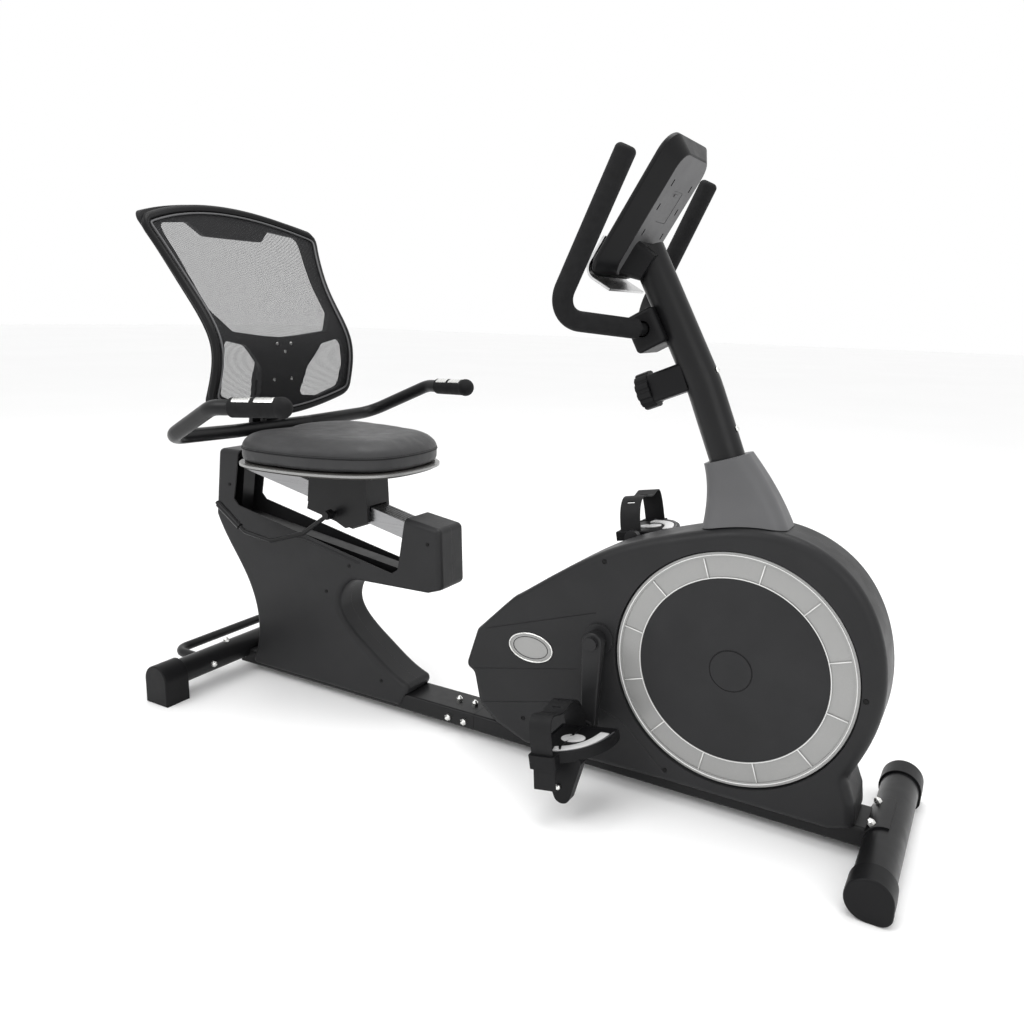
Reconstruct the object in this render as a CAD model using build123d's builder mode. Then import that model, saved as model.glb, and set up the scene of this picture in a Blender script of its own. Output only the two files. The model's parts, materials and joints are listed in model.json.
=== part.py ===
from build123d import *
import os
from math import sin, cos, tan, radians

# Recumbent exercise bike, millimetres. +X forward, +Y the rider's left, +Z up.
# Origin: on the floor, under the middle of the bounding box, on the symmetry plane.
os.makedirs("parts", exist_ok=True)

# ---------------------------------------------------------------- driving dimensions
HALF_LENGTH = 850.5
CRANK_LENGTH = 170.0
CRANK_X, CRANK_Z = 271.0, 301.0
DISC_X, DISC_Z = 527.0, 291.0
DISC_R = 220.0
SHELL_HALF = 58.0
SHELL_WALL = 3.0
COVER_HALF = 47.5
BEAM_HALF = 43.5
BEAM_BOTTOM, BEAM_TOP = 18.0, 56.5
FRONT_TUBE_X, FRONT_TUBE_R, FRONT_CAP_R = 812.5, 34.0, 38.0
REAR_TUBE_X, REAR_TUBE_Z, REAR_TUBE_R = -725.0, 58.0, 29.0
FRONT_HALF_SPAN = 218.5
REAR_HALF_SPAN = 303.0
POST_R, POST_WALL = 31.5, 2.5
BAR_R = 13.5
RAIL_SLOPE = 12.1
RAIL_HALF, RAIL_HEIGHT = 27.0, 38.0
SEAT_BASE_Z = 567.0
SEAT_TOP_Z = 637.0
CONSOLE_TILT = 31.5
PULLEY_R, SMALL_PULLEY_R = 115.0, 17.0
FLYWHEEL_R = 125.0
AXLE_R = 8.5
RUN_GAP = 0.05


def at_y(y):
    """Plane across the bike at the given y; local x is X and local y is Z."""
    return Plane.XZ.offset(-y)


def at_x(x):
    """Plane facing forward at the given x; local x is Y and local y is Z."""
    return Plane.YZ.offset(x)


def rail_point(x):
    """Point on the upper face of the seat rail at the given x."""
    return Vector(x, 0, 515.0 - (x + 498.0) * tan(radians(RAIL_SLOPE)))


def drum(radius, y0, y1, x, z, hole=0.0):
    """Cylinder or ring on an axis along Y, between y0 and y1."""
    with BuildPart() as ring:
        with BuildSketch(at_y(y1)):
            with Locations((x, z)):
                Circle(radius)
                if hole:
                    Circle(hole, mode=Mode.SUBTRACT)
        extrude(amount=y1 - y0)
    return ring.part


def prism(points, y0, y1, corner=0.0):
    """XZ outline with rounded corners, extruded between y0 and y1."""
    with BuildPart() as block:
        with BuildSketch(at_y(y1)) as outline:
            Polygon(*points, align=None)
            if corner:
                fillet(outline.vertices(), corner)
        extrude(amount=y1 - y0)
    return block.part


# ---------------------------------------------------------------- lower frame
SPLICE_X = -20.0
with BuildPart() as front_beam:
    with BuildSketch(at_x(SPLICE_X)):
        with Locations((0, (BEAM_BOTTOM + BEAM_TOP) / 2)):
            RectangleRounded(2 * BEAM_HALF, BEAM_TOP - BEAM_BOTTOM, 6)
            RectangleRounded(2 * BEAM_HALF - 5, BEAM_TOP - BEAM_BOTTOM - 5, 4, mode=Mode.SUBTRACT)
    extrude(amount=FRONT_TUBE_X - SPLICE_X)
    # curved saddle that hugs the stabiliser tube
    with BuildSketch(at_y(52)):
        with Locations((FRONT_TUBE_X, FRONT_CAP_R)):
            Circle(FRONT_TUBE_R + 3.8)
        with Locations((FRONT_TUBE_X + 25, FRONT_CAP_R - 34)):
            Rectangle(100, 50, mode=Mode.SUBTRACT)
        with Locations((FRONT_TUBE_X + 40, FRONT_CAP_R)):
            Rectangle(70, 100, mode=Mode.SUBTRACT)
    extrude(amount=104)
    add(drum(FRONT_TUBE_R + 0.3, -120, 120, FRONT_TUBE_X, FRONT_CAP_R), mode=Mode.SUBTRACT)

with BuildPart() as rear_beam:
    with BuildSketch(at_x(REAR_TUBE_X)):
        with Locations((0, (BEAM_BOTTOM + BEAM_TOP) / 2)):
            RectangleRounded(2 * BEAM_HALF, BEAM_TOP - BEAM_BOTTOM, 6)
            RectangleRounded(2 * BEAM_HALF - 5, BEAM_TOP - BEAM_BOTTOM - 5, 4, mode=Mode.SUBTRACT)
    extrude(amount=SPLICE_X - 0.5 - REAR_TUBE_X)
    # tongue that slides into the front beam
    with BuildSketch(at_x(SPLICE_X - 120)):
        with Locations((0, (BEAM_BOTTOM + BEAM_TOP) / 2)):
            RectangleRounded(2 * BEAM_HALF - 5, BEAM_TOP - BEAM_BOTTOM - 5, 4)
            RectangleRounded(2 * BEAM_HALF - 10, BEAM_TOP - BEAM_BOTTOM - 10, 2, mode=Mode.SUBTRACT)
    extrude(amount=119.5)
    with BuildSketch(at_x(SPLICE_X - 1)):
        with Locations((0, (BEAM_BOTTOM + BEAM_TOP) / 2)):
            RectangleRounded(2 * BEAM_HALF - 5.6, BEAM_TOP - BEAM_BOTTOM - 5.6, 3.7)
            RectangleRounded(2 * BEAM_HALF - 10, BEAM_TOP - BEAM_BOTTOM - 10, 2, mode=Mode.SUBTRACT)
    extrude(amount=101)
    add(drum(REAR_TUBE_R + 0.3, -120, 120, REAR_TUBE_X, REAR_TUBE_Z), mode=Mode.SUBTRACT)

with BuildPart() as front_stabiliser:
    add(drum(FRONT_TUBE_R, -178, 178, FRONT_TUBE_X, FRONT_CAP_R, hole=FRONT_TUBE_R - 3))

WHEEL_R, WHEEL_X, WHEEL_Z = 17.0, 830.5, 19.5
WHEEL_Y0, WHEEL_Y1 = 188.0, 206.0
with BuildPart() as front_caps:
    with BuildSketch(at_y(FRONT_HALF_SPAN)):
        with Locations((FRONT_TUBE_X, FRONT_CAP_R)):
            Circle(FRONT_CAP_R)
        with Locations((HALF_LENGTH - 20, 20)):
            Circle(20)
        make_hull()
    extrude(amount=50)
    fillet(front_caps.edges().filter_by(GeomType.CIRCLE).group_by(Axis.Y)[-1], 4)
    add(drum(FRONT_TUBE_R + 0.2, 160, 178.2, FRONT_TUBE_X, FRONT_CAP_R), mode=Mode.SUBTRACT)
    # pocket for the transport wheel
    add(drum(WHEEL_R + 2, WHEEL_Y0 - 1, WHEEL_Y1 + 1, WHEEL_X, WHEEL_Z), mode=Mode.SUBTRACT)
    with BuildSketch(at_y(WHEEL_Y1 + 1)):
        with Locations((WHEEL_X + 10, WHEEL_Z - 15)):
            Rectangle(38, 38)
    extrude(amount=WHEEL_Y1 - WHEEL_Y0 + 2, mode=Mode.SUBTRACT)
    # axle pin across the pocket
    add(drum(4, WHEEL_Y0 - 2, WHEEL_Y1 + 2, WHEEL_X, WHEEL_Z))
    mirror(about=Plane.XZ)

with BuildPart() as transport_wheel_left:
    add(drum(WHEEL_R, WHEEL_Y0, WHEEL_Y1, WHEEL_X, WHEEL_Z))
    fillet(transport_wheel_left.edges().filter_by(GeomType.CIRCLE), 2.5)
    add(drum(4 + RUN_GAP, WHEEL_Y0, WHEEL_Y1, WHEEL_X, WHEEL_Z), mode=Mode.SUBTRACT)

with BuildPart() as transport_wheel_right:
    mirror(transport_wheel_left.part, about=Plane.XZ)

with BuildPart() as rear_stabiliser:
    add(drum(REAR_TUBE_R, -295, 295, REAR_TUBE_X, REAR_TUBE_Z, hole=REAR_TUBE_R - 3))

FOOT_HALF = 35.5
with BuildPart() as rear_feet:
    with BuildSketch(at_y(REAR_HALF_SPAN)):
        with Locations((REAR_TUBE_X, REAR_TUBE_Z)):
            Circle(FOOT_HALF)
        with Locations((REAR_TUBE_X, REAR_TUBE_Z / 2)):
            Rectangle(2 * FOOT_HALF, REAR_TUBE_Z)
    extrude(amount=64)
    fillet(rear_feet.faces().sort_by(Axis.Y)[-1].edges(), 3)
    add(drum(REAR_TUBE_R + 0.2, 230, 295.2, REAR_TUBE_X, REAR_TUBE_Z), mode=Mode.SUBTRACT)
    mirror(about=Plane.XZ)

HANDLE_R, HANDLE_HALF = 11.0, 152.0
HANDLE_X = HANDLE_R - HALF_LENGTH
with BuildPart() as carry_handle:
    with BuildLine() as carry_path:
        FilletPolyline(
            (REAR_TUBE_X - 10, -HANDLE_HALF, REAR_TUBE_Z),
            (HANDLE_X, -HANDLE_HALF, REAR_TUBE_Z),
            (HANDLE_X, HANDLE_HALF, REAR_TUBE_Z),
            (REAR_TUBE_X - 10, HANDLE_HALF, REAR_TUBE_Z),
            radius=34,
        )
    with BuildSketch(at_x(REAR_TUBE_X - 10)):
        with Locations((-HANDLE_HALF, REAR_TUBE_Z)):
            Circle(HANDLE_R)
    sweep(path=carry_path.line)
    add(drum(REAR_TUBE_R + 0.2, -200, 200, REAR_TUBE_X, REAR_TUBE_Z), mode=Mode.SUBTRACT)


def domed_nut(plane, size=7.5):
    """Hexagon nut with a domed cap, standing on the plane."""
    with BuildPart() as nut:
        with BuildSketch(plane):
            RegularPolygon(size, 6)
        extrude(amount=size * 0.8)
        with BuildSketch(plane.offset(size * 0.8)):
            Circle(size * 0.86)
        extrude(amount=size * 0.7, taper=35)
    return nut.part


# bolts stand on the beam's splice, on both stabilisers and on the post
SADDLE_ANGLE = 128.0
with BuildPart() as frame_bolts:
    for x in (-85, -44):
        add(domed_nut(Plane((x, 0, BEAM_TOP), z_dir=(0, 0, 1))))
        add(domed_nut(Plane((x, -BEAM_HALF, 35), z_dir=(0, -1, 0))))
        add(domed_nut(Plane((x, BEAM_HALF, 35), z_dir=(0, 1, 0))))
    for y in (-40, 40):
        reach = FRONT_TUBE_R + 3.8
        spot = (
            FRONT_TUBE_X + reach * cos(radians(SADDLE_ANGLE)),
            y,
            FRONT_CAP_R + reach * sin(radians(SADDLE_ANGLE)),
        )
        out = (cos(radians(SADDLE_ANGLE)), 0, sin(radians(SADDLE_ANGLE)))
        add(domed_nut(Plane(spot, z_dir=out)))
    for y in (-160, 160):
        add(domed_nut(Plane((REAR_TUBE_X + REAR_TUBE_R, y, REAR_TUBE_Z), z_dir=(1, 0, 0))))
    for y in (-90, 90):
        add(domed_nut(Plane((REAR_TUBE_X, y, REAR_TUBE_Z + REAR_TUBE_R), z_dir=(0, 0, 1))))

# ---------------------------------------------------------------- rear pedestal
# side outline of the pedestal cover: the shin behind, the long curve of the toe in front
COVER_TOP = [
    (-342, 303), (-146, 308), (-106, 322), (-112, 455), (-204, 468), (-694, 567), (-769, 566), (-789, 400),
]
COVER_SHIN = [(-740, 318), (-690, 243), (-662, 160), (-662, 100)]
COVER_FOOT = [(-690, 24), (-216, 24), (-190, 78)]
COVER_TOE = [(-240, 98), (-304, 140), (-362, 184), (-394, 232), (-380, 280)]
COVER_CORNER, COVER_EDGE = 13.0, 12.0
WINDOW = [
    (-694, 600), (-722, 445), (-708, 431), (-384, 366), (-240, 338), (-222, 350), (-200, 480),
]


def inset_points(points, inset):
    """Closed outline moved inward by the wall thickness, corner by corner."""
    moved = []
    count = len(points)
    for i, point in enumerate(points):
        here = Vector(*point)
        into = (here - Vector(*points[i - 1])).normalized()
        away = (Vector(*points[(i + 1) % count]) - here).normalized()
        bisector = (Vector(-into.Y, into.X) + Vector(-away.Y, away.X)).normalized()
        half_turn = max(bisector.dot(Vector(-away.Y, away.X)), 0.5)
        moved.append(here + bisector * (inset / half_turn))
    return moved


def cover_block(inset, depth, edge):
    """Half of the pedestal cover as a solid block with rounded corners and a rounded outer edge."""
    outline_points = COVER_TOP + COVER_SHIN + COVER_FOOT + COVER_TOE
    points = inset_points(outline_points, inset)
    top_end = len(COVER_TOP)
    foot = top_end + len(COVER_SHIN)
    toe = foot + len(COVER_FOOT)
    with BuildPart() as block:
        with BuildSketch(at_y(0)) as outline:
            with BuildLine():
                Polyline(*points[:top_end])
                Spline(*points[top_end - 1:foot + 1])
                Polyline(*points[foot:toe])
                Spline(*points[toe - 1:], points[0])
            make_face()
            for corner in points[1:top_end - 1] + points[foot:toe]:
                spot = (corner.X, corner.Y)
                fillet(outline.vertices().sort_by_distance(spot)[0], COVER_CORNER - inset)
        extrude(amount=depth)
        fillet(block.faces().sort_by(Axis.Y)[0].edges(), edge)
    return block.part


with BuildPart() as rear_cover_right:
    add(cover_block(0, COVER_HALF, COVER_EDGE))
    add(cover_block(SHELL_WALL, COVER_HALF - SHELL_WALL, COVER_EDGE - SHELL_WALL), mode=Mode.SUBTRACT)
    add(prism(WINDOW, -60, 1), mode=Mode.SUBTRACT)
    # way in for the lower beam, at the back and at the toe
    with BuildSketch(at_x(-720)):
        with Locations((0, 38)):
            Rectangle(2 * BEAM_HALF + 1, 40)
    extrude(amount=560, mode=Mode.SUBTRACT)

with BuildPart() as rear_cover_left:
    mirror(rear_cover_right.part, about=Plane.XZ)

# inner steel upright: leg on the beam, cross-member under the window, posts up to the rail
RAIL_REAR_X, RAIL_FRONT_X = -712.0, -150.0
with BuildPart() as rear_frame:
    leg = [(-560, BEAM_TOP), (-500, BEAM_TOP), (-505, 360), (-575, 360)]
    cross_member = [(-758, 412), (-152, 331), (-152, 318), (-320, 318), (-758, 386)]
    rear_post = [(-758, 386), (-732, 386), (-712, 522.0), (-720, 523.7), (-742, 523.7)]
    front_post = [(-188, 316), (-152, 316), (-152, 401.5), (-188, 409)]
    for outline in (leg, cross_member, rear_post, front_post):
        add(prism(outline, -18, 18))
    # square tube walls for the leg and the cross-member
    add(prism([(-557, BEAM_TOP - 1), (-503, BEAM_TOP - 1), (-508, 340), (-571, 340)], -15, 15), mode=Mode.SUBTRACT)
    core = [(-750, 406), (-195, 332), (-195, 321), (-318, 321), (-750, 389)]
    add(prism(core, -15, 15), mode=Mode.SUBTRACT)

with BuildPart() as seat_rail:
    slope_dir = Vector(cos(radians(RAIL_SLOPE)), 0, -sin(radians(RAIL_SLOPE)))
    rail_plane = Plane(rail_point(RAIL_REAR_X), x_dir=(0, 1, 0), z_dir=slope_dir)
    with BuildSketch(rail_plane):
        with Locations((0, -RAIL_HEIGHT / 2)):
            Rectangle(2 * RAIL_HALF, RAIL_HEIGHT)
        with Locations((0, -RAIL_HEIGHT / 2)):
            Rectangle(2 * RAIL_HALF - 7, RAIL_HEIGHT - 7, mode=Mode.SUBTRACT)
        # shallow grooves along the upper face
        with GridLocations(9, 1, 5, 1):
            Rectangle(3.5, 3, mode=Mode.SUBTRACT)
    extrude(amount=(RAIL_FRONT_X - RAIL_REAR_X) / cos(radians(RAIL_SLOPE)))

# ---------------------------------------------------------------- drive shell
RECESS_R = DISC_R + 3.0
RECESS_FLOOR = 46.0
SHELL_EDGE = 18.0
SHELL_LIP_Z = 39.0


# side outline of the drive shell in X and Z: straight stretches, then the long curve over the top
SHELL_STRAIGHT = [
    (-12, 258), (-39, 171), (-18, 160), (-2, 92), (40, 58), (112, 30), (420, SHELL_LIP_Z), (720, SHELL_LIP_Z),
    (764, 52), (758, 100), (741, 142),
]
SHELL_CURVE = [(786, 300), (711, 500), (580, 558), (427, 533), (259, 468), (85, 352)]
SHELL_CORNERS = [14, 14, 14, 25, 25, 25, 0, 25, 18, 18, 18]


def shell_block(inset, depth, edge):
    """Half of the drive shell as a solid block with rounded corners and a rounded outer edge."""
    points = inset_points(SHELL_STRAIGHT + SHELL_CURVE, inset)
    straight = points[: len(SHELL_STRAIGHT)]
    with BuildPart() as block:
        with BuildSketch(at_y(0)) as outline:
            with BuildLine():
                Polyline(*straight)
                Spline(straight[-1], *points[len(straight):], straight[0], tangents=[(0.5, 1), (-1, -1.02)])
            make_face()
            for corner, radius in zip(straight, SHELL_CORNERS):
                if radius:
                    spot = (corner.X, corner.Y)
                    fillet(outline.vertices().sort_by_distance(spot)[0], radius - inset)
        extrude(amount=depth)
        fillet(block.faces().sort_by(Axis.Y)[0].edges(), edge)
    return block.part


shell_envelope = shell_block(0, SHELL_HALF, SHELL_EDGE)

# mast line: from the beam up to the neck, then the post above it
POST_LOW = Vector(511, 0, 580)
POST_BEND = Vector(423, 0, 792)
POST_TOP = Vector(300, 0, 1022)
low_dir = (POST_BEND - POST_LOW).normalized()
top_dir = (POST_TOP - POST_BEND).normalized()
MAST_LINE = [(705, BEAM_TOP), (705, 300), (640, 440), (530, 535)]


def rod(radius, start, end, hole=0.0):
    """Straight round bar or tube between two points."""
    axis = Vector(end) - Vector(start)
    with BuildPart() as bar:
        with BuildSketch(Plane(origin=Vector(start), z_dir=axis.normalized())):
            Circle(radius)
            if hole:
                Circle(hole, mode=Mode.SUBTRACT)
        extrude(amount=axis.length)
    return bar.part


def crease(start, end, depth=1.3, width=3.0):
    """Moulded V-shaped line pressed into the right side face, between two XZ points."""
    run = Vector(end[0] - start[0], 0, end[1] - start[1])
    with BuildPart() as groove:
        start_plane = Plane((start[0], -SHELL_HALF, start[1]), x_dir=(0, 1, 0), z_dir=run.normalized())
        with BuildSketch(start_plane):
            Polygon((0, width / 2), (0, -width / 2), (depth, 0), align=None)
        extrude(amount=run.length)
    return groove.part


SCREW_SPOTS = [(274, 455), (757, 294), (110, 90), (420, 66)]
with BuildPart() as drive_shell_right:
    add(shell_envelope)
    add(shell_block(SHELL_WALL, SHELL_HALF - SHELL_WALL, SHELL_EDGE - SHELL_WALL), mode=Mode.SUBTRACT)
    # round pocket for the side disc
    add(drum(RECESS_R + SHELL_WALL, -SHELL_HALF, -RECESS_FLOOR + SHELL_WALL, DISC_X, DISC_Z))
    add(drum(RECESS_R, -SHELL_HALF - 1, -RECESS_FLOOR, DISC_X, DISC_Z), mode=Mode.SUBTRACT)
    add(drum(14, -SHELL_HALF - 1, 1, DISC_X, DISC_Z), mode=Mode.SUBTRACT)
    # collar round the crank axle
    add(drum(30, -SHELL_HALF - 5, -SHELL_HALF + SHELL_WALL, CRANK_X, CRANK_Z))
    add(drum(15, -SHELL_HALF - 6, 1, CRANK_X, CRANK_Z), mode=Mode.SUBTRACT)
    # way through for the beam and for the mast
    with BuildSketch(at_x(-60)):
        with Locations((0, 20)):
            Rectangle(2 * BEAM_HALF + 1, 2 * (BEAM_TOP - 20) + 1)
    extrude(amount=900, mode=Mode.SUBTRACT)
    add(rod(POST_R + 2, POST_LOW - low_dir * 90, POST_BEND), mode=Mode.SUBTRACT)
    for line in (((-14, 258), (262, 350)), ((-22, 170), (228, 226)), ((-2, 98), (225, 155))):
        add(crease(*line), mode=Mode.SUBTRACT)
    for line in (((282, 156), (329, 142)), ((329, 142), (420, 60))):
        add(crease(*line), mode=Mode.SUBTRACT)
    for x, z in SCREW_SPOTS:
        add(drum(5, -SHELL_HALF - 1, -SHELL_HALF + 1.6, x, z), mode=Mode.SUBTRACT)

with BuildPart() as drive_shell_left:
    mirror(drive_shell_right.part, about=Plane.XZ)

COVER_SCREWS = [(-430, 262), (-270, 76), (-360, 335), (-142, 420), (-735, 480)]
with BuildPart() as cover_screws:
    for x, z in SCREW_SPOTS:
        add(drum(3.8, -SHELL_HALF + 0.2, -SHELL_HALF + 1.6, x, z))
    for x, z in COVER_SCREWS:
        add(drum(3.8, -COVER_HALF - 1.4, -COVER_HALF, x, z))
    mirror(about=Plane.XZ)

# ---------------------------------------------------------------- inner frame and drive
BRACKET_Y0, BRACKET_Y1 = -36.0, 4.0
MAGNET_PIVOT, MAGNET_PIN_R = (668, 262), 5.0
BEARING_R, BEARING_W = 17.5, 10.0
PLATE_Y0, PLATE_Y1 = 34.0, 38.0
with BuildPart() as inner_frame:
    with BuildSketch(at_y(20)):
        with BuildLine():
            Polyline(*MAST_LINE)
        trace(line_width=40)
    extrude(amount=40)
    with BuildSketch(at_y(17)):
        with BuildLine():
            Polyline(*MAST_LINE)
        trace(line_width=34)
    extrude(amount=34, mode=Mode.SUBTRACT)
    add(rod(POST_R - POST_WALL - 0.3, POST_LOW - low_dir * 60, POST_LOW + low_dir * 120, hole=24))
    for y0 in (PLATE_Y0, -PLATE_Y1):
        add(prism([(480, BEAM_TOP), (574, BEAM_TOP), (552, 316), (502, 316)], y0, y0 + 4))
    add(drum(24, PLATE_Y0 - 7, PLATE_Y1, DISC_X, DISC_Z))
    add(drum(24, -PLATE_Y1, -PLATE_Y0 + 7, DISC_X, DISC_Z))
    add(drum(BEARING_R, -60, 60, DISC_X, DISC_Z), mode=Mode.SUBTRACT)
    add(prism([(248, BEAM_TOP), (294, BEAM_TOP), (288, 290), (254, 290)], -30, 0))
    add(drum(23, BRACKET_Y0, BRACKET_Y1, CRANK_X, CRANK_Z))
    add(drum(BEARING_R, -60, 60, CRANK_X, CRANK_Z), mode=Mode.SUBTRACT)
    # lug and pin for the magnet arm
    pin_x, pin_z = MAGNET_PIVOT
    with BuildSketch(at_y(10)):
        with Locations((pin_x + 7, pin_z)):
            Rectangle(38, 24)
    extrude(amount=5)
    add(drum(MAGNET_PIN_R, -32, 10, pin_x, pin_z))

with BuildPart() as bearings:
    for y0 in (BRACKET_Y0, BRACKET_Y1 - BEARING_W):
        add(drum(BEARING_R, y0, y0 + BEARING_W, CRANK_X, CRANK_Z, hole=AXLE_R + RUN_GAP))
    for y0 in (PLATE_Y1 - BEARING_W, -PLATE_Y1):
        add(drum(BEARING_R, y0, y0 + BEARING_W, DISC_X, DISC_Z, hole=AXLE_R + RUN_GAP))

BELT_Y0, BELT_Y1, BELT_T = 8.0, 22.0, 4.0
FLY_Y0, FLY_Y1 = -24.0, -2.0
with BuildPart() as crank_axle:
    add(drum(AXLE_R, -98, 98, CRANK_X, CRANK_Z))

with BuildPart() as crank_pulley:
    add(drum(PULLEY_R, BELT_Y0, BELT_Y1, CRANK_X, CRANK_Z, hole=PULLEY_R - 12))
    add(drum(PULLEY_R - 10, BELT_Y0 + 4, BELT_Y1 - 4, CRANK_X, CRANK_Z))
    add(drum(20, BELT_Y0 - 2, BELT_Y1 + 4, CRANK_X, CRANK_Z))
    with BuildSketch(at_y(BELT_Y1 + 1)):
        with Locations((CRANK_X, CRANK_Z)):
            with PolarLocations(62, 6):
                Circle(18)
    extrude(amount=BELT_Y1 - BELT_Y0 + 2, mode=Mode.SUBTRACT)
    add(drum(AXLE_R, -60, 60, CRANK_X, CRANK_Z), mode=Mode.SUBTRACT)

with BuildPart() as flywheel_shaft:
    add(drum(AXLE_R, -50, 50, DISC_X, DISC_Z))
    add(drum(SMALL_PULLEY_R, BELT_Y0, BELT_Y1, DISC_X, DISC_Z))

with BuildPart() as flywheel:
    add(drum(FLYWHEEL_R, FLY_Y0, FLY_Y1, DISC_X, DISC_Z, hole=FLYWHEEL_R - 30))
    add(drum(FLYWHEEL_R - 28, FLY_Y0 + 7, FLY_Y1 - 7, DISC_X, DISC_Z))
    add(drum(22, FLY_Y0, FLY_Y1 + 4, DISC_X, DISC_Z))
    add(drum(AXLE_R, -60, 60, DISC_X, DISC_Z), mode=Mode.SUBTRACT)

with BuildPart() as drive_belt:
    with BuildSketch(at_y(BELT_Y1 - 1)):
        with Locations((CRANK_X, CRANK_Z)):
            Circle(PULLEY_R + BELT_T)
        with Locations((DISC_X, DISC_Z)):
            Circle(SMALL_PULLEY_R + BELT_T)
        make_hull()
    extrude(amount=BELT_Y1 - BELT_Y0 - 2)
    with BuildSketch(at_y(BELT_Y1)):
        with Locations((CRANK_X, CRANK_Z)):
            Circle(PULLEY_R + 0.4)
        with Locations((DISC_X, DISC_Z)):
            Circle(SMALL_PULLEY_R + 0.4)
        make_hull()
    extrude(amount=BELT_Y1 - BELT_Y0, mode=Mode.SUBTRACT)

# side discs: ribbed ring, plate with a round centre cap
RING_INNER_R, RIB_R0, RIB_R1, RIB_COUNT, RIB_TURN = 172.0, 174.0, 211.0, 12, 17.92
DISC_BACK, DISC_FACE = 47.0, 52.0
with BuildPart() as disc_rings:
    add(drum(DISC_R, -DISC_FACE, -DISC_BACK, DISC_X, DISC_Z, hole=RING_INNER_R))
    add(drum(RIB_R1, -DISC_FACE - 1, -DISC_FACE + 2.0, DISC_X, DISC_Z, hole=RIB_R0), mode=Mode.SUBTRACT)
    with BuildSketch(at_y(-DISC_FACE + 2.5)):
        with Locations((DISC_X, DISC_Z)):
            with PolarLocations((RIB_R0 + RIB_R1) / 2, RIB_COUNT, start_angle=RIB_TURN):
                Rectangle(RIB_R1 - RIB_R0 + 2, 3)
    extrude(amount=2.3)
    mirror(about=Plane.XZ)

with BuildPart() as disc_plates:
    add(drum(RING_INNER_R, -DISC_FACE + 1, -DISC_BACK, DISC_X, DISC_Z))
    add(drum(37.5, -DISC_FACE - 0.2, -DISC_FACE + 1, DISC_X, DISC_Z))
    add(drum(39.5, -DISC_FACE - 0.4, -DISC_FACE + 2.2, DISC_X, DISC_Z, hole=37.5), mode=Mode.SUBTRACT)
    add(drum(AXLE_R + 0.1, -50.2, 0, DISC_X, DISC_Z), mode=Mode.SUBTRACT)
    mirror(about=Plane.XZ)

# ---------------------------------------------------------------- cranks and pedals
ARM_Y0, ARM_Y1 = 78.0, 94.0
PEDAL_Z = CRANK_Z - CRANK_LENGTH
PEDAL_IN, PEDAL_OUT = 108.0, 238.0
PEDAL_TILT = 10.0
SPINDLE_R = 7.0
with BuildPart() as crank_arm_right:
    with BuildSketch(at_y(-ARM_Y0)):
        with Locations((CRANK_X, CRANK_Z)):
            Circle(21)
        with Locations((CRANK_X, PEDAL_Z)):
            Circle(15)
        make_hull()
    extrude(amount=ARM_Y1 - ARM_Y0)
    fillet(crank_arm_right.faces().sort_by(Axis.Y)[0].edges(), 4)
    add(drum(18, -ARM_Y0, -66, CRANK_X, CRANK_Z))
    add(drum(SPINDLE_R, -PEDAL_OUT + 14, -ARM_Y1 + 1, CRANK_X, PEDAL_Z))
    add(drum(12, -ARM_Y1 - 6, -ARM_Y1, CRANK_X, PEDAL_Z))
    add(drum(AXLE_R, -98, 0, CRANK_X, CRANK_Z), mode=Mode.SUBTRACT)
    # crank cap that closes the axle's end
    add(drum(13, -ARM_Y1 - 7, -98.2, CRANK_X, CRANK_Z))
    add(drum(13, -98.2, -ARM_Y1, CRANK_X, CRANK_Z, hole=AXLE_R))

# the left arm is the right one turned half way round the crank axle
with BuildPart() as crank_arm_left:
    mirror(crank_arm_right.part.rotate(Axis((CRANK_X, 0, CRANK_Z), (0, 1, 0)), 180), about=Plane.XZ)


STRAP_W, STRAP_T, BUCKLE_Y = 44.0, 2.4, 250.0


def pedal_outline(inset=0.0):
    """Plan of the right pedal about its spindle: straight inner side, curved outer side."""
    with BuildSketch() as outline:
        with BuildLine():
            Line((-46, -PEDAL_IN), (74, -PEDAL_IN))
            ThreePointArc((74, -PEDAL_IN), (62, -190), (6, -PEDAL_OUT))
            Line((6, -PEDAL_OUT), (-34, -PEDAL_OUT))
            Line((-34, -PEDAL_OUT), (-46, -226))
            Line((-46, -226), (-46, -PEDAL_IN))
        make_face()
        if inset:
            offset(amount=-inset, mode=Mode.REPLACE)
    return outline.sketch


with BuildPart() as pedal_flat:
    with BuildSketch(Plane.XY.offset(-11)):
        add(pedal_outline())
    extrude(amount=20)
    fillet(pedal_flat.faces().sort_by(Axis.Z)[-1].edges(), 3)
    # raised rim on the tread
    with BuildSketch(Plane.XY.offset(9)):
        add(pedal_outline(inset=5))
    extrude(amount=-2, mode=Mode.SUBTRACT)
    # weight lobe that hangs below and keeps the tread upward
    with BuildSketch(at_y(-196)):
        with Locations((-4, -82)):
            Circle(17)
        with Locations((4, -14)):
            Rectangle(80, 8)
        make_hull()
    extrude(amount=22)
    # strap buckle at the outer rear corner, with the slot that the strap runs through
    with BuildSketch(Plane.XY.offset(-18)):
        with Locations((-14, -PEDAL_OUT - 8)):
            RectangleRounded(54, 22, 4)
        with Locations((-14, -BUCKLE_Y)):
            Rectangle(46, 4, mode=Mode.SUBTRACT)
    extrude(amount=26)
    add(drum(SPINDLE_R + RUN_GAP, -PEDAL_OUT + 13, -90, 0, 0), mode=Mode.SUBTRACT)

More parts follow.
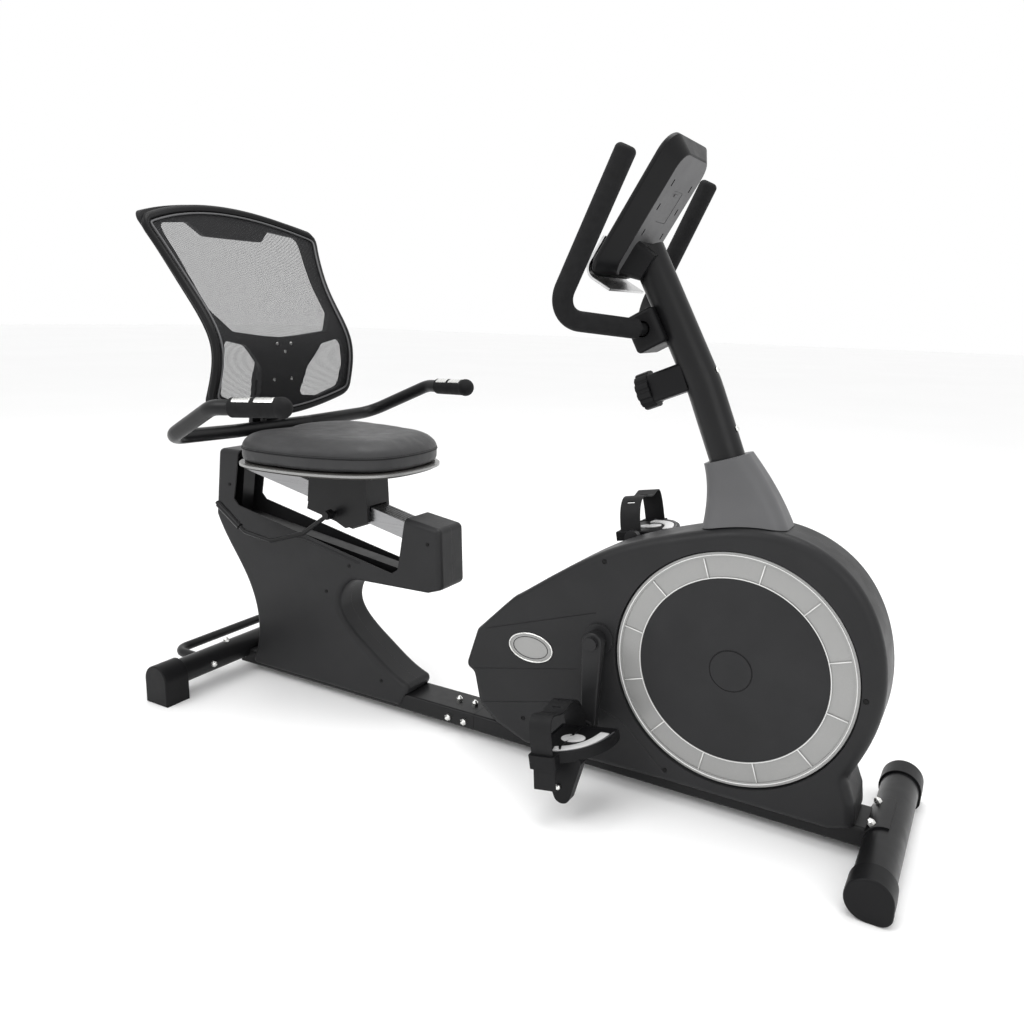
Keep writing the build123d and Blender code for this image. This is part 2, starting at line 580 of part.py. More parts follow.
with BuildPart() as strap_flat:
    with BuildSketch(at_x(-36)):
        with BuildLine():
            Line((-PEDAL_IN - 3, -4), (-PEDAL_IN - 5, 20))
            Spline(
                (-PEDAL_IN - 5, 20), (-150, 74), (-200, 68), (-BUCKLE_Y, 14),
                tangents=[(-0.1, 1), (0, -1)],
            )
            Line((-BUCKLE_Y, 14), (-BUCKLE_Y, -24))
            Line((-BUCKLE_Y, -24), (-BUCKLE_Y - 6, -56))
        trace(line_width=STRAP_T)
    extrude(amount=STRAP_W)
    # row of notches for the buckle
    with BuildSketch(Plane.XY.offset(40)):
        with Locations((-14, -166)):
            with GridLocations(18, 24, 1, 4):
                SlotOverall(18, 4, rotation=0)
    extrude(amount=60, mode=Mode.SUBTRACT)
    add(pedal_flat.part, mode=Mode.SUBTRACT)
    add(drum(SPINDLE_R + 0.5, -PEDAL_OUT + 13, -90, 0, 0), mode=Mode.SUBTRACT)


def on_spindle(flat, mirrored):
    """Place a pedal piece on its spindle: right side below the axle, left side above it."""
    tilted = flat.rotate(Axis.Y, -PEDAL_TILT)
    if mirrored:
        return Pos(CRANK_X, 0, CRANK_Z + CRANK_LENGTH) * mirror(tilted, about=Plane.XZ, mode=Mode.PRIVATE)
    return Pos(CRANK_X, 0, PEDAL_Z) * tilted


with BuildPart() as pedal_right:
    add(on_spindle(pedal_flat.part, False))

with BuildPart() as pedal_left:
    add(on_spindle(pedal_flat.part, True))

with BuildPart() as pedal_strap_right:
    add(on_spindle(strap_flat.part, False))

with BuildPart() as pedal_strap_left:
    add(on_spindle(strap_flat.part, True))

# ---------------------------------------------------------------- post, neck cover, handlebar
def bent_post(radius, hole=0.0):
    """The post's bent tube, or its solid outline for cutting seats in its neighbours."""
    with BuildPart() as tube:
        with BuildLine() as path:
            FilletPolyline(POST_LOW, POST_BEND, POST_TOP, radius=300)
        with BuildSketch(Plane(origin=POST_LOW, z_dir=low_dir)):
            Circle(radius)
            if hole:
                Circle(hole, mode=Mode.SUBTRACT)
        sweep(path=path.line)
    return tube.part


post_seat = bent_post(POST_R + 0.2)
with BuildPart() as post:
    add(bent_post(POST_R, hole=POST_R - POST_WALL))

with BuildPart() as neck_cover:
    with BuildSketch(Plane.XY.offset(505)):
        with Locations((528, 0)):
            RectangleRounded(176, 104, 30)
    with BuildSketch(Plane.XY.offset(560)):
        with Locations((522, 0)):
            RectangleRounded(148, 96, 30)
    with BuildSketch(Plane(origin=(477, 0, 668), x_dir=(1, 0, 0.33), z_dir=(-0.33, 0, 1))):
        RectangleRounded(83, 80, 30)
    loft()
    # the lower edge follows the crown of the drive shell
    with BuildSketch(at_y(70)):
        with BuildLine():
            crown = [(x, z + 0.6) for x, z in SHELL_CURVE[1:5]]
            Spline(*crown)
            Polyline(crown[3], (259, 400), (711, 400), crown[0])
        make_face()
    extrude(amount=140, mode=Mode.SUBTRACT)
    add(rod(POST_R + 0.3, POST_LOW - low_dir * 120, POST_BEND), mode=Mode.SUBTRACT)

CLAMP = POST_BEND + top_dir * 130 - Vector(cos(radians(28)), 0, sin(radians(28))) * (POST_R + 12)
GRIP_TOP = Vector(337, 204, 1158)
GRIP_LOW = Vector(244, 204, 950)
BAR_ELBOW = Vector(218, 200, 902)
BAR_IN = Vector(CLAMP.X - 6, 62, CLAMP.Z)
bar_points = [GRIP_TOP, BAR_ELBOW, BAR_IN]
bar_mirrored = [Vector(p.X, -p.Y, p.Z) for p in reversed(bar_points)]
with BuildPart() as handlebar:
    with BuildLine() as bar_path:
        FilletPolyline(*bar_points, *bar_mirrored, radius=46)
    with BuildSketch(Plane(origin=GRIP_TOP, z_dir=BAR_ELBOW - GRIP_TOP)):
        Circle(BAR_R - 2.5)
        Circle(BAR_R - 5, mode=Mode.SUBTRACT)
    sweep(path=bar_path.line)

# foam sleeves with rounded ends: each runs down its grip, round the elbow and in to the clamp
GRIP_R, SLEEVE_END_Y = 17.5, 66.0
with BuildPart() as bar_grips:
    grip_dir = (BAR_ELBOW - GRIP_TOP).normalized()
    bar_run = (BAR_IN - BAR_ELBOW).normalized()
    sleeve_end = BAR_ELBOW + bar_run * ((BAR_ELBOW.Y - SLEEVE_END_Y) / abs(bar_run.Y))
    with BuildLine() as sleeve_path:
        FilletPolyline(GRIP_TOP - grip_dir * 6, BAR_ELBOW, sleeve_end, radius=46)
    with BuildSketch(Plane(origin=GRIP_TOP - grip_dir * 6, z_dir=grip_dir)):
        Circle(GRIP_R)
    sweep(path=sleeve_path.line)
    fillet(bar_grips.edges().filter_by(GeomType.CIRCLE).sort_by(Axis.Z)[-1], 9)
    with BuildLine() as bore_path:
        FilletPolyline(GRIP_TOP, BAR_ELBOW, BAR_IN, radius=46)
    with BuildSketch(Plane(origin=GRIP_TOP, z_dir=grip_dir)):
        Circle(BAR_R - 2.5)
    sweep(path=bore_path.line, mode=Mode.SUBTRACT)
    mirror(about=Plane.XZ)

clamp_plane = Plane(origin=CLAMP, x_dir=(0, 1, 0), z_dir=top_dir)
with BuildPart() as clamp_cover:
    with BuildSketch(clamp_plane.offset(-34)):
        with Locations((0, 4)):
            RectangleRounded(92, 58, 10)
    extrude(amount=68)
    fillet(clamp_cover.edges().filter_by(Axis.Y), 8)
    add(post_seat, mode=Mode.SUBTRACT)
    add(rod(BAR_R + 0.6, (CLAMP.X - 6, -60, CLAMP.Z), (CLAMP.X - 6, 60, CLAMP.Z)), mode=Mode.SUBTRACT)

# ---------------------------------------------------------------- tension knob
KNOB_AT = POST_BEND + top_dir * 25
knob_out = Vector(-cos(radians(22.5)), 0, -sin(radians(22.5)))
knob_plane = Plane(origin=KNOB_AT + knob_out * 20, x_dir=(0, 1, 0), z_dir=knob_out)
HOUSING_LONG, KNOB_R, KNOB_LONG = 66.0, 34.0, 26.0
with BuildPart() as knob_housing:
    with BuildSketch(knob_plane):
        RectangleRounded(52, 52, 8)
    extrude(amount=HOUSING_LONG)
    add(post_seat, mode=Mode.SUBTRACT)
    with BuildSketch(knob_plane.offset(20)):
        Circle(4 + RUN_GAP)
    extrude(amount=HOUSING_LONG, mode=Mode.SUBTRACT)

with BuildPart() as tension_knob:
    with BuildSketch(knob_plane.offset(HOUSING_LONG + 0.5)):
        Circle(KNOB_R)
        with PolarLocations(KNOB_R + 2, 12):
            Circle(4.5, mode=Mode.SUBTRACT)
    extrude(amount=KNOB_LONG)
    fillet(tension_knob.faces().sort_by(Axis(KNOB_AT, knob_out))[-1].edges(), 2)
    with BuildSketch(knob_plane.offset(HOUSING_LONG + 1)):
        Circle(4)
    extrude(amount=-30)

# magnet arm under the flywheel's rim, pulled by the knob's cable
with BuildPart() as magnet_arm:
    with BuildSketch(at_y(FLY_Y1 + 6)):
        with Locations((DISC_X, DISC_Z)):
            Circle(FLYWHEEL_R + 22)
            Circle(FLYWHEEL_R + 8, mode=Mode.SUBTRACT)
        with Locations((DISC_X + 100, DISC_Z - 40)):
            Rectangle(200, 120, mode=Mode.INTERSECT)
    extrude(amount=FLY_Y1 - FLY_Y0 + 12)
    add(drum(9, FLY_Y0 - 6, FLY_Y1 + 6, *MAGNET_PIVOT))
    add(drum(MAGNET_PIN_R + RUN_GAP, -60, 60, *MAGNET_PIVOT), mode=Mode.SUBTRACT)

# ---------------------------------------------------------------- console
face_up = Vector(sin(radians(CONSOLE_TILT)), 0, cos(radians(CONSOLE_TILT)))
face_out = Vector(-cos(radians(CONSOLE_TILT)), 0, sin(radians(CONSOLE_TILT)))
FACE_CENTRE = Vector(296, 0, 1093)
FACE_W, FACE_H, FACE_CORNER = 200.0, 264.0, 38.0
BACK_W, BACK_H = 134.0, 228.0
CONSOLE_DEPTH, BEZEL_DEPTH = 33.0, 9.0
face_plane = Plane(origin=FACE_CENTRE, x_dir=(0, 1, 0), z_dir=face_out)
if face_plane.y_dir.Z < 0:
    face_plane = Plane(origin=FACE_CENTRE, x_dir=(0, -1, 0), z_dir=face_out)

face_axis = Axis(FACE_CENTRE, face_out)
with BuildPart() as console_back:
    with BuildSketch(face_plane.offset(-BEZEL_DEPTH)):
        RectangleRounded(FACE_W, FACE_H, FACE_CORNER)
    with BuildSketch(face_plane.offset(-CONSOLE_DEPTH)):
        RectangleRounded(BACK_W, BACK_H, 30)
    loft()
    fillet(console_back.faces().sort_by(face_axis)[0].edges(), 5)
    # cowl that wraps the post's upper end
    with BuildSketch(face_plane.offset(-BEZEL_DEPTH - 4)):
        with Locations((0, -82)):
            RectangleRounded(100, 76, 12)
    with BuildSketch(face_plane.offset(-CONSOLE_DEPTH - 38)):
        with Locations((0, -76)):
            RectangleRounded(78, 52, 12)
    loft()
    add(post_seat, mode=Mode.SUBTRACT)
    # hollow for the circuit board, and vent slots through the back panel
    with BuildSketch(face_plane.offset(-BEZEL_DEPTH)):
        with Locations((0, 18)):
            RectangleRounded(BACK_W - 10, BACK_H - 60, 24)
    extrude(amount=-(CONSOLE_DEPTH - BEZEL_DEPTH - 4), mode=Mode.SUBTRACT)
    with BuildSketch(face_plane.offset(-CONSOLE_DEPTH - 1)):
        with Locations((-44, 62), (44, 62), (-44, 18), (44, 18), (-44, -30), (44, -30)):
            Rectangle(4, 12)
        with Locations((0, 22)):
            RectangleRounded(46.6, 58.6, 4.3)
    extrude(amount=8, mode=Mode.SUBTRACT)

with BuildPart() as battery_cover:
    with BuildSketch(face_plane.offset(-CONSOLE_DEPTH + 0.4)):
        with Locations((0, 22)):
            RectangleRounded(46, 58, 4)
    extrude(amount=2.4)
    with BuildSketch(face_plane.offset(-CONSOLE_DEPTH + 0.4)):
        with Locations((0, 44)):
            Rectangle(14, 5)
    extrude(amount=-1.4)

BUTTONS = {"button_left": -44.0, "button_middle": 0.0, "button_right": 44.0}
BUTTON_ROW, BUTTON_R, SCREEN_W, SCREEN_H = -62.0, 9.0, 150.0, 92.0
with BuildPart() as console_front:
    with BuildSketch(face_plane.offset(-BEZEL_DEPTH)):
        RectangleRounded(FACE_W, FACE_H, FACE_CORNER)
    extrude(amount=BEZEL_DEPTH)
    fillet(console_front.faces().sort_by(face_axis)[-1].edges(), 5)
    with BuildSketch(face_plane):
        with Locations((0, 34)):
            RectangleRounded(SCREEN_W, SCREEN_H, 6)
        with Locations(*[(x, BUTTON_ROW) for x in BUTTONS.values()]):
            Circle(BUTTON_R + 0.4)
    extrude(amount=-BEZEL_DEPTH, mode=Mode.SUBTRACT)

with BuildPart() as console_screen:
    with BuildSketch(face_plane.offset(-BEZEL_DEPTH + 2)):
        with Locations((0, 34)):
            RectangleRounded(SCREEN_W - 0.2, SCREEN_H - 0.2, 6)
    extrude(amount=BEZEL_DEPTH - 3)


def push_button(x):
    """Round console button that stands 2 mm proud of the bezel."""
    with BuildPart() as button:
        with BuildSketch(face_plane.offset(-5)):
            with Locations((x, BUTTON_ROW)):
                Circle(BUTTON_R)
        extrude(amount=7)
        fillet(button.faces().sort_by(face_axis)[-1].edges(), 1.2)
    return button.part


with BuildPart() as button_left:
    add(push_button(BUTTONS["button_left"]))

with BuildPart() as button_middle:
    add(push_button(BUTTONS["button_middle"]))

with BuildPart() as button_right:
    add(push_button(BUTTONS["button_right"]))

# bright lip that wraps the console's lower end and carries a tablet
LIP_HALF, LIP_T = 80.0, 4.0
with BuildPart() as tablet_shelf:
    with BuildSketch(at_y(LIP_HALF)):
        with BuildLine():
            lip_start = FACE_CENTRE - face_up * 66 + face_out * 12
            lip_low = FACE_CENTRE - face_up * 138 + face_out * 12
            lip_end = FACE_CENTRE - face_up * 136 - face_out * 48
            FilletPolyline(
                (lip_start.X, lip_start.Z), (lip_low.X, lip_low.Z), (lip_end.X, lip_end.Z), radius=22
            )
        trace(line_width=LIP_T)
    extrude(amount=2 * LIP_HALF)
    # two bosses that meet the bezel
    with BuildSketch(face_plane):
        with Locations((-50, -112), (50, -112)):
            Circle(6)
    extrude(amount=10)

# ---------------------------------------------------------------- seat carriage and seat
SEAT_X = -409.0
LEVER_Y = -62.0
LEVER_PIVOT = Vector(-405, LEVER_Y, 452)
LEVER_PIN_R = 5.0
carriage_plane = Plane(rail_point(SEAT_X), x_dir=(0, 1, 0), z_dir=slope_dir)
CARRIAGE_LONG, CARRIAGE_HALF = 140.0, 40.0
with BuildPart() as seat_carriage:
    with BuildSketch(carriage_plane.offset(-CARRIAGE_LONG / 2)):
        with Locations((0, -RAIL_HEIGHT / 2 - 3)):
            Rectangle(2 * CARRIAGE_HALF, RAIL_HEIGHT + 40)
        with Locations((0, -RAIL_HEIGHT / 2)):
            Rectangle(2 * RAIL_HALF + 6, RAIL_HEIGHT + 6, mode=Mode.SUBTRACT)
    extrude(amount=CARRIAGE_LONG)
    # cheeks that run from the seat bracket down past the rail
    add(prism([(-483, 522), (-488, 469), (-375, 420), (-310, 442), (-316, 540), (-452, 540)], -40, 40))
    with BuildSketch(carriage_plane.offset(-200)):
        with Locations((0, -RAIL_HEIGHT / 2)):
            Rectangle(2 * RAIL_HALF + 6, RAIL_HEIGHT + 6)
    extrude(amount=400, mode=Mode.SUBTRACT)
    # pin for the seat lever
    add(drum(LEVER_PIN_R, LEVER_Y - 8, -CARRIAGE_HALF, LEVER_PIVOT.X, LEVER_PIVOT.Z))
    add(drum(9, LEVER_Y - 12, LEVER_Y - 8, LEVER_PIVOT.X, LEVER_PIVOT.Z))

with BuildPart() as carriage_glides:
    for start in (-CARRIAGE_LONG / 2 + 2, CARRIAGE_LONG / 2 - 32):
        with BuildSketch(carriage_plane.offset(start)):
            with Locations((0, -RAIL_HEIGHT / 2)):
                Rectangle(2 * RAIL_HALF + 6, RAIL_HEIGHT + 6)
                Rectangle(2 * RAIL_HALF + 0.7, RAIL_HEIGHT + 0.7, mode=Mode.SUBTRACT)
        extrude(amount=30)

with BuildPart() as seat_bracket:
    add(prism([(-470, 540), (-300, 540), (-282, 548), (-282, 560), (-490, 560), (-490, 550)], -46, 46))
    with BuildSketch(Plane.XY.offset(540)):
        with Locations((-407, 0)):
            Rectangle(60, 40)
    extrude(amount=10, mode=Mode.SUBTRACT)


def seat_plan(inset=0.0):
    """Plan of the seat: broad and square behind, narrowing to a blunt round front."""
    side = [(-588, 138), (-545, 184), (-470, 196), (-380, 190), (-288, 162), (-222, 112)]
    middle = Vector(-400, 0)
    scale_x, scale_y = 1 - inset / 205, 1 - inset / 196
    outer = [Vector(middle.X + (x - middle.X) * scale_x, y * scale_y) for x, y in side]
    rear = Vector(middle.X - 202 * scale_x, 0)
    front = Vector(middle.X + 204 * scale_x, 0)
    mirrored = [Vector(p.X, -p.Y) for p in reversed(outer)]
    with BuildSketch() as plan:
        with BuildLine():
            Spline(rear, *outer, front, *mirrored, periodic=True)
        make_face()
    return plan.sketch


with BuildPart() as seat_base:
    with BuildSketch(Plane.XY.offset(560)):
        add(seat_plan(inset=10))
    extrude(amount=12)

with BuildPart() as seat_trim:
    with BuildSketch(Plane.XY.offset(565)):
        add(seat_plan())
    extrude(amount=5)
    add(seat_base.part, mode=Mode.SUBTRACT)

with BuildPart() as seat_pad:
    with BuildSketch(Plane.XY.offset(572.3)):
        add(seat_plan(inset=1))
    extrude(amount=SEAT_TOP_Z - 572.3)
    fillet(seat_pad.faces().sort_by(Axis.Z)[-1].edges(), 22)

# bent tube behind the seat that ends in the two side handles
HANDLE_END = Vector(-300, 320, 722)
HANDLE_UP = Vector(-430, 356, 716)
HANDLE_REAR = Vector(-596, 325, 638)
HANDLE_IN = Vector(-628, 120, 628)
TUBE_R, TUBE_WALL = 15.5, 2.0
HANDLE_BOLT_Y = 32.0
seat_tube_points = [HANDLE_END, HANDLE_UP, HANDLE_REAR, HANDLE_IN]
seat_tube_mirror = [Vector(p.X, -p.Y, p.Z) for p in reversed(seat_tube_points)]
with BuildPart() as seat_handles:
    with BuildLine() as handle_path:
        FilletPolyline(*seat_tube_points, *seat_tube_mirror, radius=55)
    with BuildSketch(Plane(origin=HANDLE_END, z_dir=HANDLE_UP - HANDLE_END)):
        Circle(TUBE_R)
        Circle(TUBE_R - TUBE_WALL, mode=Mode.SUBTRACT)
    sweep(path=handle_path.line)
    # two bolts that hold the tube to the bracket behind the seat
    for y in (-HANDLE_BOLT_Y, HANDLE_BOLT_Y):
        add(domed_nut(Plane((HANDLE_IN.X, y, HANDLE_IN.Z + TUBE_R - 1), z_dir=(0, 0, 1)), size=7))
    for y in (-HANDLE_BOLT_Y, HANDLE_BOLT_Y):
        with Locations((HANDLE_IN.X, y, HANDLE_IN.Z)):
            Cylinder(3, 2 * TUBE_R - 2)

with BuildPart() as pulse_grips:
    grip_run = (HANDLE_UP - HANDLE_END).normalized()
    add(rod(TUBE_R + 4, HANDLE_END - grip_run * 14, HANDLE_END + grip_run * 96))
    fillet(pulse_grips.edges().filter_by(GeomType.CIRCLE), 6)
    with Locations(HANDLE_END - grip_run * 14):
        Sphere(TUBE_R + 5.5)
    add(rod(TUBE_R, HANDLE_END, HANDLE_END + grip_run * 120), mode=Mode.SUBTRACT)
    mirror(about=Plane.XZ)

# ---------------------------------------------------------------- backrest
BACK_CURVE = [(-600, 645), (-578, 735), (-569, 822), (-600, 885), (-643, 943), (-700, 1030), (-762, 1140)]
SAG, BACK_T = 26.0, 12.0


def back_sheet(thickness, shift):
    """Doubly curved sheet: the backrest's side curve carried across a shallow arc."""
    start = BACK_CURVE[0]
    path_dir = Vector(0.1, 0, 1)
    with BuildPart() as sheet:
        with BuildLine(Plane.XZ) as curve:
            Spline(*BACK_CURVE, tangents=[(0.1, 1), (-0.5, 1)])
        with BuildSketch(Plane(origin=(start[0], 0, start[1]), x_dir=(0, 1, 0), z_dir=path_dir)):
            with BuildLine():
                ThreePointArc((-285, shift), (0, shift + SAG), (285, shift))
            trace(line_width=thickness)
        sweep(path=curve.line)
    return sheet.part


def back_outline(inset=0.0):
    """Front view of the backrest, in Y and Z."""
    side = [(226, 700), (222, 760), (219, 830), (220, 900), (232, 980), (254, 1060), (266, 1092)]
    side = [(y - inset, 880 + (z - 880) * (1 - inset / 230)) for y, z in side]
    low_y, low_z = side[0]
    high_y, high_z = side[-1]
    with BuildSketch() as outline:
        with BuildLine():
            Spline(*side)
            ThreePointArc((high_y, high_z), (0, 1131 - inset), (-high_y, high_z))
            Spline(*[(-y, z) for y, z in reversed(side)])
            ThreePointArc((-low_y, low_z), (0, 655 + inset), (low_y, low_z))
        make_face()
        fillet(outline.vertices(), 18)
    return outline.sketch


def back_window(points, corner=22):
    """Opening through the backrest's frame, seen from the front, in Y and Z."""
    with BuildPart() as opening:
        with BuildSketch(at_x(-950)) as outline:
            Polygon(*points, align=None)
            fillet(outline.vertices(), corner)
        extrude(amount=500)
    return opening.part


def back_prism(inset=0.0):
    """Solid bar with the backrest's front outline, long enough to cut the curved sheet."""
    with BuildPart() as bar:
        with BuildSketch(at_x(-950)):
            add(back_outline(inset))
        extrude(amount=500)
    return bar.part


UPPER_WINDOW = [
    (-214, 1076), (-120, 1086), (-85, 1058), (85, 1058), (120, 1086), (214, 1076), (196, 985), (188, 895),
    (150, 852), (60, 842), (0, 838), (-60, 842), (-150, 852), (-188, 895), (-196, 985),
]
LOWER_WINDOW = [(62, 700), (74, 770), (120, 822), (188, 836), (196, 770), (194, 716), (130, 694)]
with BuildPart() as backrest_frame:
    add(back_sheet(BACK_T, -4))
    add(back_prism(), mode=Mode.INTERSECT)
    add(back_window(UPPER_WINDOW, 16), mode=Mode.SUBTRACT)
    add(back_window(LOWER_WINDOW, 16), mode=Mode.SUBTRACT)
    add(back_window([(-y, z) for y, z in reversed(LOWER_WINDOW)], 16), mode=Mode.SUBTRACT)

with BuildPart() as backrest_mesh:
    add(back_sheet(2.4, -BACK_T / 2 - 4 - 1.5))
    add(back_prism(inset=12), mode=Mode.INTERSECT)

# spine bracket: flat bar from under the seat that turns up behind the backrest
SPINE_HALF = 45.0
with BuildPart() as backrest_bracket:
    tongue = [
        (-490, 552), (-612, 552.5), (-650, 560), (-670, 590),
        (-662, 600), (-642, 568.5), (-610, 560), (-490, 560),
    ]
    upright = [
        (-670, 590), (-662, 598), (-651, 640), (-636, 740),
        (-597, 740), (-597, 830), (-620, 830), (-648, 740),
    ]
    add(prism(tongue, -SPINE_HALF, SPINE_HALF))
    add(prism(upright, -SPINE_HALF, SPINE_HALF))
    # saddle that carries the handle tube
    add(prism([(-662, 604), (-628, 604), (-628, 628), (-656, 628)], -SPINE_HALF, SPINE_HALF))
    add(back_sheet(BACK_T + 0.6, -4), mode=Mode.SUBTRACT)
    add(drum(TUBE_R + 0.2, -100, 100, HANDLE_IN.X, HANDLE_IN.Z), mode=Mode.SUBTRACT)

# ---------------------------------------------------------------- seat lever
with BuildPart() as seat_lever:
    with BuildLine() as lever_path:
        FilletPolyline(
            LEVER_PIVOT, Vector(-480, -66, 398), Vector(-556, -92, 374), Vector(-632, -100, 386),
            Vector(-722, -100, 446), radius=18,
        )
    with BuildSketch(Plane(origin=LEVER_PIVOT, z_dir=Vector(-480, -66, 398) - LEVER_PIVOT)):
        Circle(5)
    sweep(path=lever_path.line)
    add(rod(8, (-648, -100, 396.7), (-716, -100, 442)))
    add(drum(11, LEVER_Y - 7.5, LEVER_Y + 8, LEVER_PIVOT.X, LEVER_PIVOT.Z))
    pin_bore = drum(LEVER_PIN_R + RUN_GAP, LEVER_Y - 20, LEVER_Y + 20, LEVER_PIVOT.X, LEVER_PIVOT.Z)
    add(pin_bore, mode=Mode.SUBTRACT)

# ---------------------------------------------------------------- label and write every piece
pieces = {
    "front_beam": front_beam,
    "rear_beam": rear_beam,
    "front_stabiliser": front_stabiliser,
    "front_caps": front_caps,
    "transport_wheel_left": transport_wheel_left,
    "transport_wheel_right": transport_wheel_right,
    "rear_stabiliser": rear_stabiliser,
    "rear_feet": rear_feet,
    "carry_handle": carry_handle,
    "frame_bolts": frame_bolts,
    "rear_cover_right": rear_cover_right,
    "rear_cover_left": rear_cover_left,
    "rear_frame": rear_frame,
    "seat_rail": seat_rail,
    "drive_shell_right": drive_shell_right,
    "drive_shell_left": drive_shell_left,
    "cover_screws": cover_screws,
    "inner_frame": inner_frame,
    "bearings": bearings,
    "crank_axle": crank_axle,
    "crank_pulley": crank_pulley,
    "flywheel_shaft": flywheel_shaft,
    "flywheel": flywheel,
    "drive_belt": drive_belt,
    "disc_rings": disc_rings,
    "disc_plates": disc_plates,
    "crank_arm_right": crank_arm_right,
    "crank_arm_left": crank_arm_left,
    "pedal_right": pedal_right,
    "pedal_left": pedal_left,
    "pedal_strap_right": pedal_strap_right,
    "pedal_strap_left": pedal_strap_left,
    "post": post,
    "neck_cover": neck_cover,
    "handlebar": handlebar,
    "bar_grips": bar_grips,
    "clamp_cover": clamp_cover,
    "knob_housing": knob_housing,
    "tension_knob": tension_knob,
    "magnet_arm": magnet_arm,
    "console_back": console_back,
    "battery_cover": battery_cover,
    "console_front": console_front,
    "console_screen": console_screen,
    "button_left": button_left,
    "button_middle": button_middle,
    "button_right": button_right,
    "tablet_shelf": tablet_shelf,
    "seat_carriage": seat_carriage,
    "carriage_glides": carriage_glides,
    "seat_bracket": seat_bracket,
    "seat_base": seat_base,
    "seat_trim": seat_trim,
    "seat_pad": seat_pad,
    "seat_handles": seat_handles,
    "pulse_grips": pulse_grips,
    "backrest_frame": backrest_frame,
    "backrest_mesh": backrest_mesh,
    "backrest_bracket": backrest_bracket,
    "seat_lever": seat_lever,
}
for name, piece in pieces.items():
    piece.part.label = name
    export_step(piece.part, f"parts/{name}.step")
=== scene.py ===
"""Looks for the recumbent exercise bike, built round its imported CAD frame. Metres, +X forward, +Z up."""
import json
import math

import bmesh
import bpy
from mathutils import Matrix, Vector
from mathutils.bvhtree import BVHTree


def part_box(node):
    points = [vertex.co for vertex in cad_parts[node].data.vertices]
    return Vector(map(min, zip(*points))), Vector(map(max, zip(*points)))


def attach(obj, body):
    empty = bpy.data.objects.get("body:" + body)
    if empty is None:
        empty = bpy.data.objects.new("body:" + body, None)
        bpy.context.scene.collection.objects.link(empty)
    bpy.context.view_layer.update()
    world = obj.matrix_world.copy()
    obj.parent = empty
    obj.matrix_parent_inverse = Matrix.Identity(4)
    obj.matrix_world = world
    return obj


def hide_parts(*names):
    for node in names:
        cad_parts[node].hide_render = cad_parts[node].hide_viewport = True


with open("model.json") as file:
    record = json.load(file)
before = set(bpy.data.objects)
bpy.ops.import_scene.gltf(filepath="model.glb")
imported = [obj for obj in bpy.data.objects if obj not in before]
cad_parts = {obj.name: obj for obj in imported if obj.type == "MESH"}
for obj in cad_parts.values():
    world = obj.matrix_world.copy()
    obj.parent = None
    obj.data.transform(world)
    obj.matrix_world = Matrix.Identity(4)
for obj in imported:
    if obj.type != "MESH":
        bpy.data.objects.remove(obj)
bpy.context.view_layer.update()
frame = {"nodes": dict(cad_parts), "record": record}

RAIL_SLOPE = math.radians(12.1)
CONSOLE_TILT = math.radians(31.5)
CONSOLE_REARWARD = Vector((math.cos(CONSOLE_TILT), 0, -math.sin(CONSOLE_TILT)))
CONSOLE_UP = Vector((math.sin(CONSOLE_TILT), 0, math.cos(CONSOLE_TILT)))
FULL_TURN = 2 * math.pi


# ---------------------------------------------------------------- small geometry helpers
def centre(node):
    """Middle of a CAD node's box."""
    low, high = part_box(node)
    return (Vector(low) + Vector(high)) / 2


def node_tree(node):
    """Search tree over a CAD node's mesh, for finding points on its surface."""
    mesh = frame["nodes"][node].data
    return BVHTree.FromPolygons([v.co for v in mesh.vertices], [p.vertices for p in mesh.polygons])


def new_piece(name, mesh_maker, smooth=True):
    """Object made from a bmesh that mesh_maker fills."""
    bm = bmesh.new()
    mesh_maker(bm)
    bmesh.ops.recalc_face_normals(bm, faces=bm.faces)
    mesh = bpy.data.meshes.new(name)
    bm.to_mesh(mesh)
    bm.free()
    for polygon in mesh.polygons:
        polygon.use_smooth = smooth
    piece = bpy.data.objects.new(name, mesh)
    bpy.context.scene.collection.objects.link(piece)
    return piece


def add_tube(bm, path, radius, closed=False, sides=12, squash=1.0, flat_dir=None):
    """Tube along a list of points, round or flattened along flat_dir, with closed ends."""
    rings = []
    count = len(path)
    normal = None
    for i, point in enumerate(path):
        ahead = path[(i + 1) % count] if closed or i + 1 < count else point
        behind = path[i - 1] if closed or i else point
        tangent = (ahead - behind).normalized()
        if flat_dir is not None:
            normal = (flat_dir - tangent * flat_dir.dot(tangent)).normalized()
        elif normal is None:
            normal = tangent.orthogonal().normalized()
        else:
            normal = (normal - tangent * normal.dot(tangent)).normalized()
        side = tangent.cross(normal)
        ring = []
        for k in range(sides):
            angle = FULL_TURN * k / sides
            offset = normal * math.cos(angle) * radius * squash + side * math.sin(angle) * radius
            ring.append(bm.verts.new(point + offset))
        rings.append(ring)
    spans = count if closed else count - 1
    for i in range(spans):
        ring, following = rings[i], rings[(i + 1) % count]
        for k in range(sides):
            bm.faces.new((ring[k], ring[(k + 1) % sides], following[(k + 1) % sides], following[k]))
    if not closed:
        bm.faces.new(rings[0][::-1])
        bm.faces.new(rings[-1])


def join_rings(bm, rings):
    """Skins a stack of rings that have equally many points, and closes both ends."""
    for lower, upper in zip(rings, rings[1:]):
        for k in range(len(lower)):
            j = (k + 1) % len(lower)
            bm.faces.new((lower[k], lower[j], upper[j], upper[k]))
    bm.faces.new(rings[0][::-1])
    bm.faces.new(rings[-1])


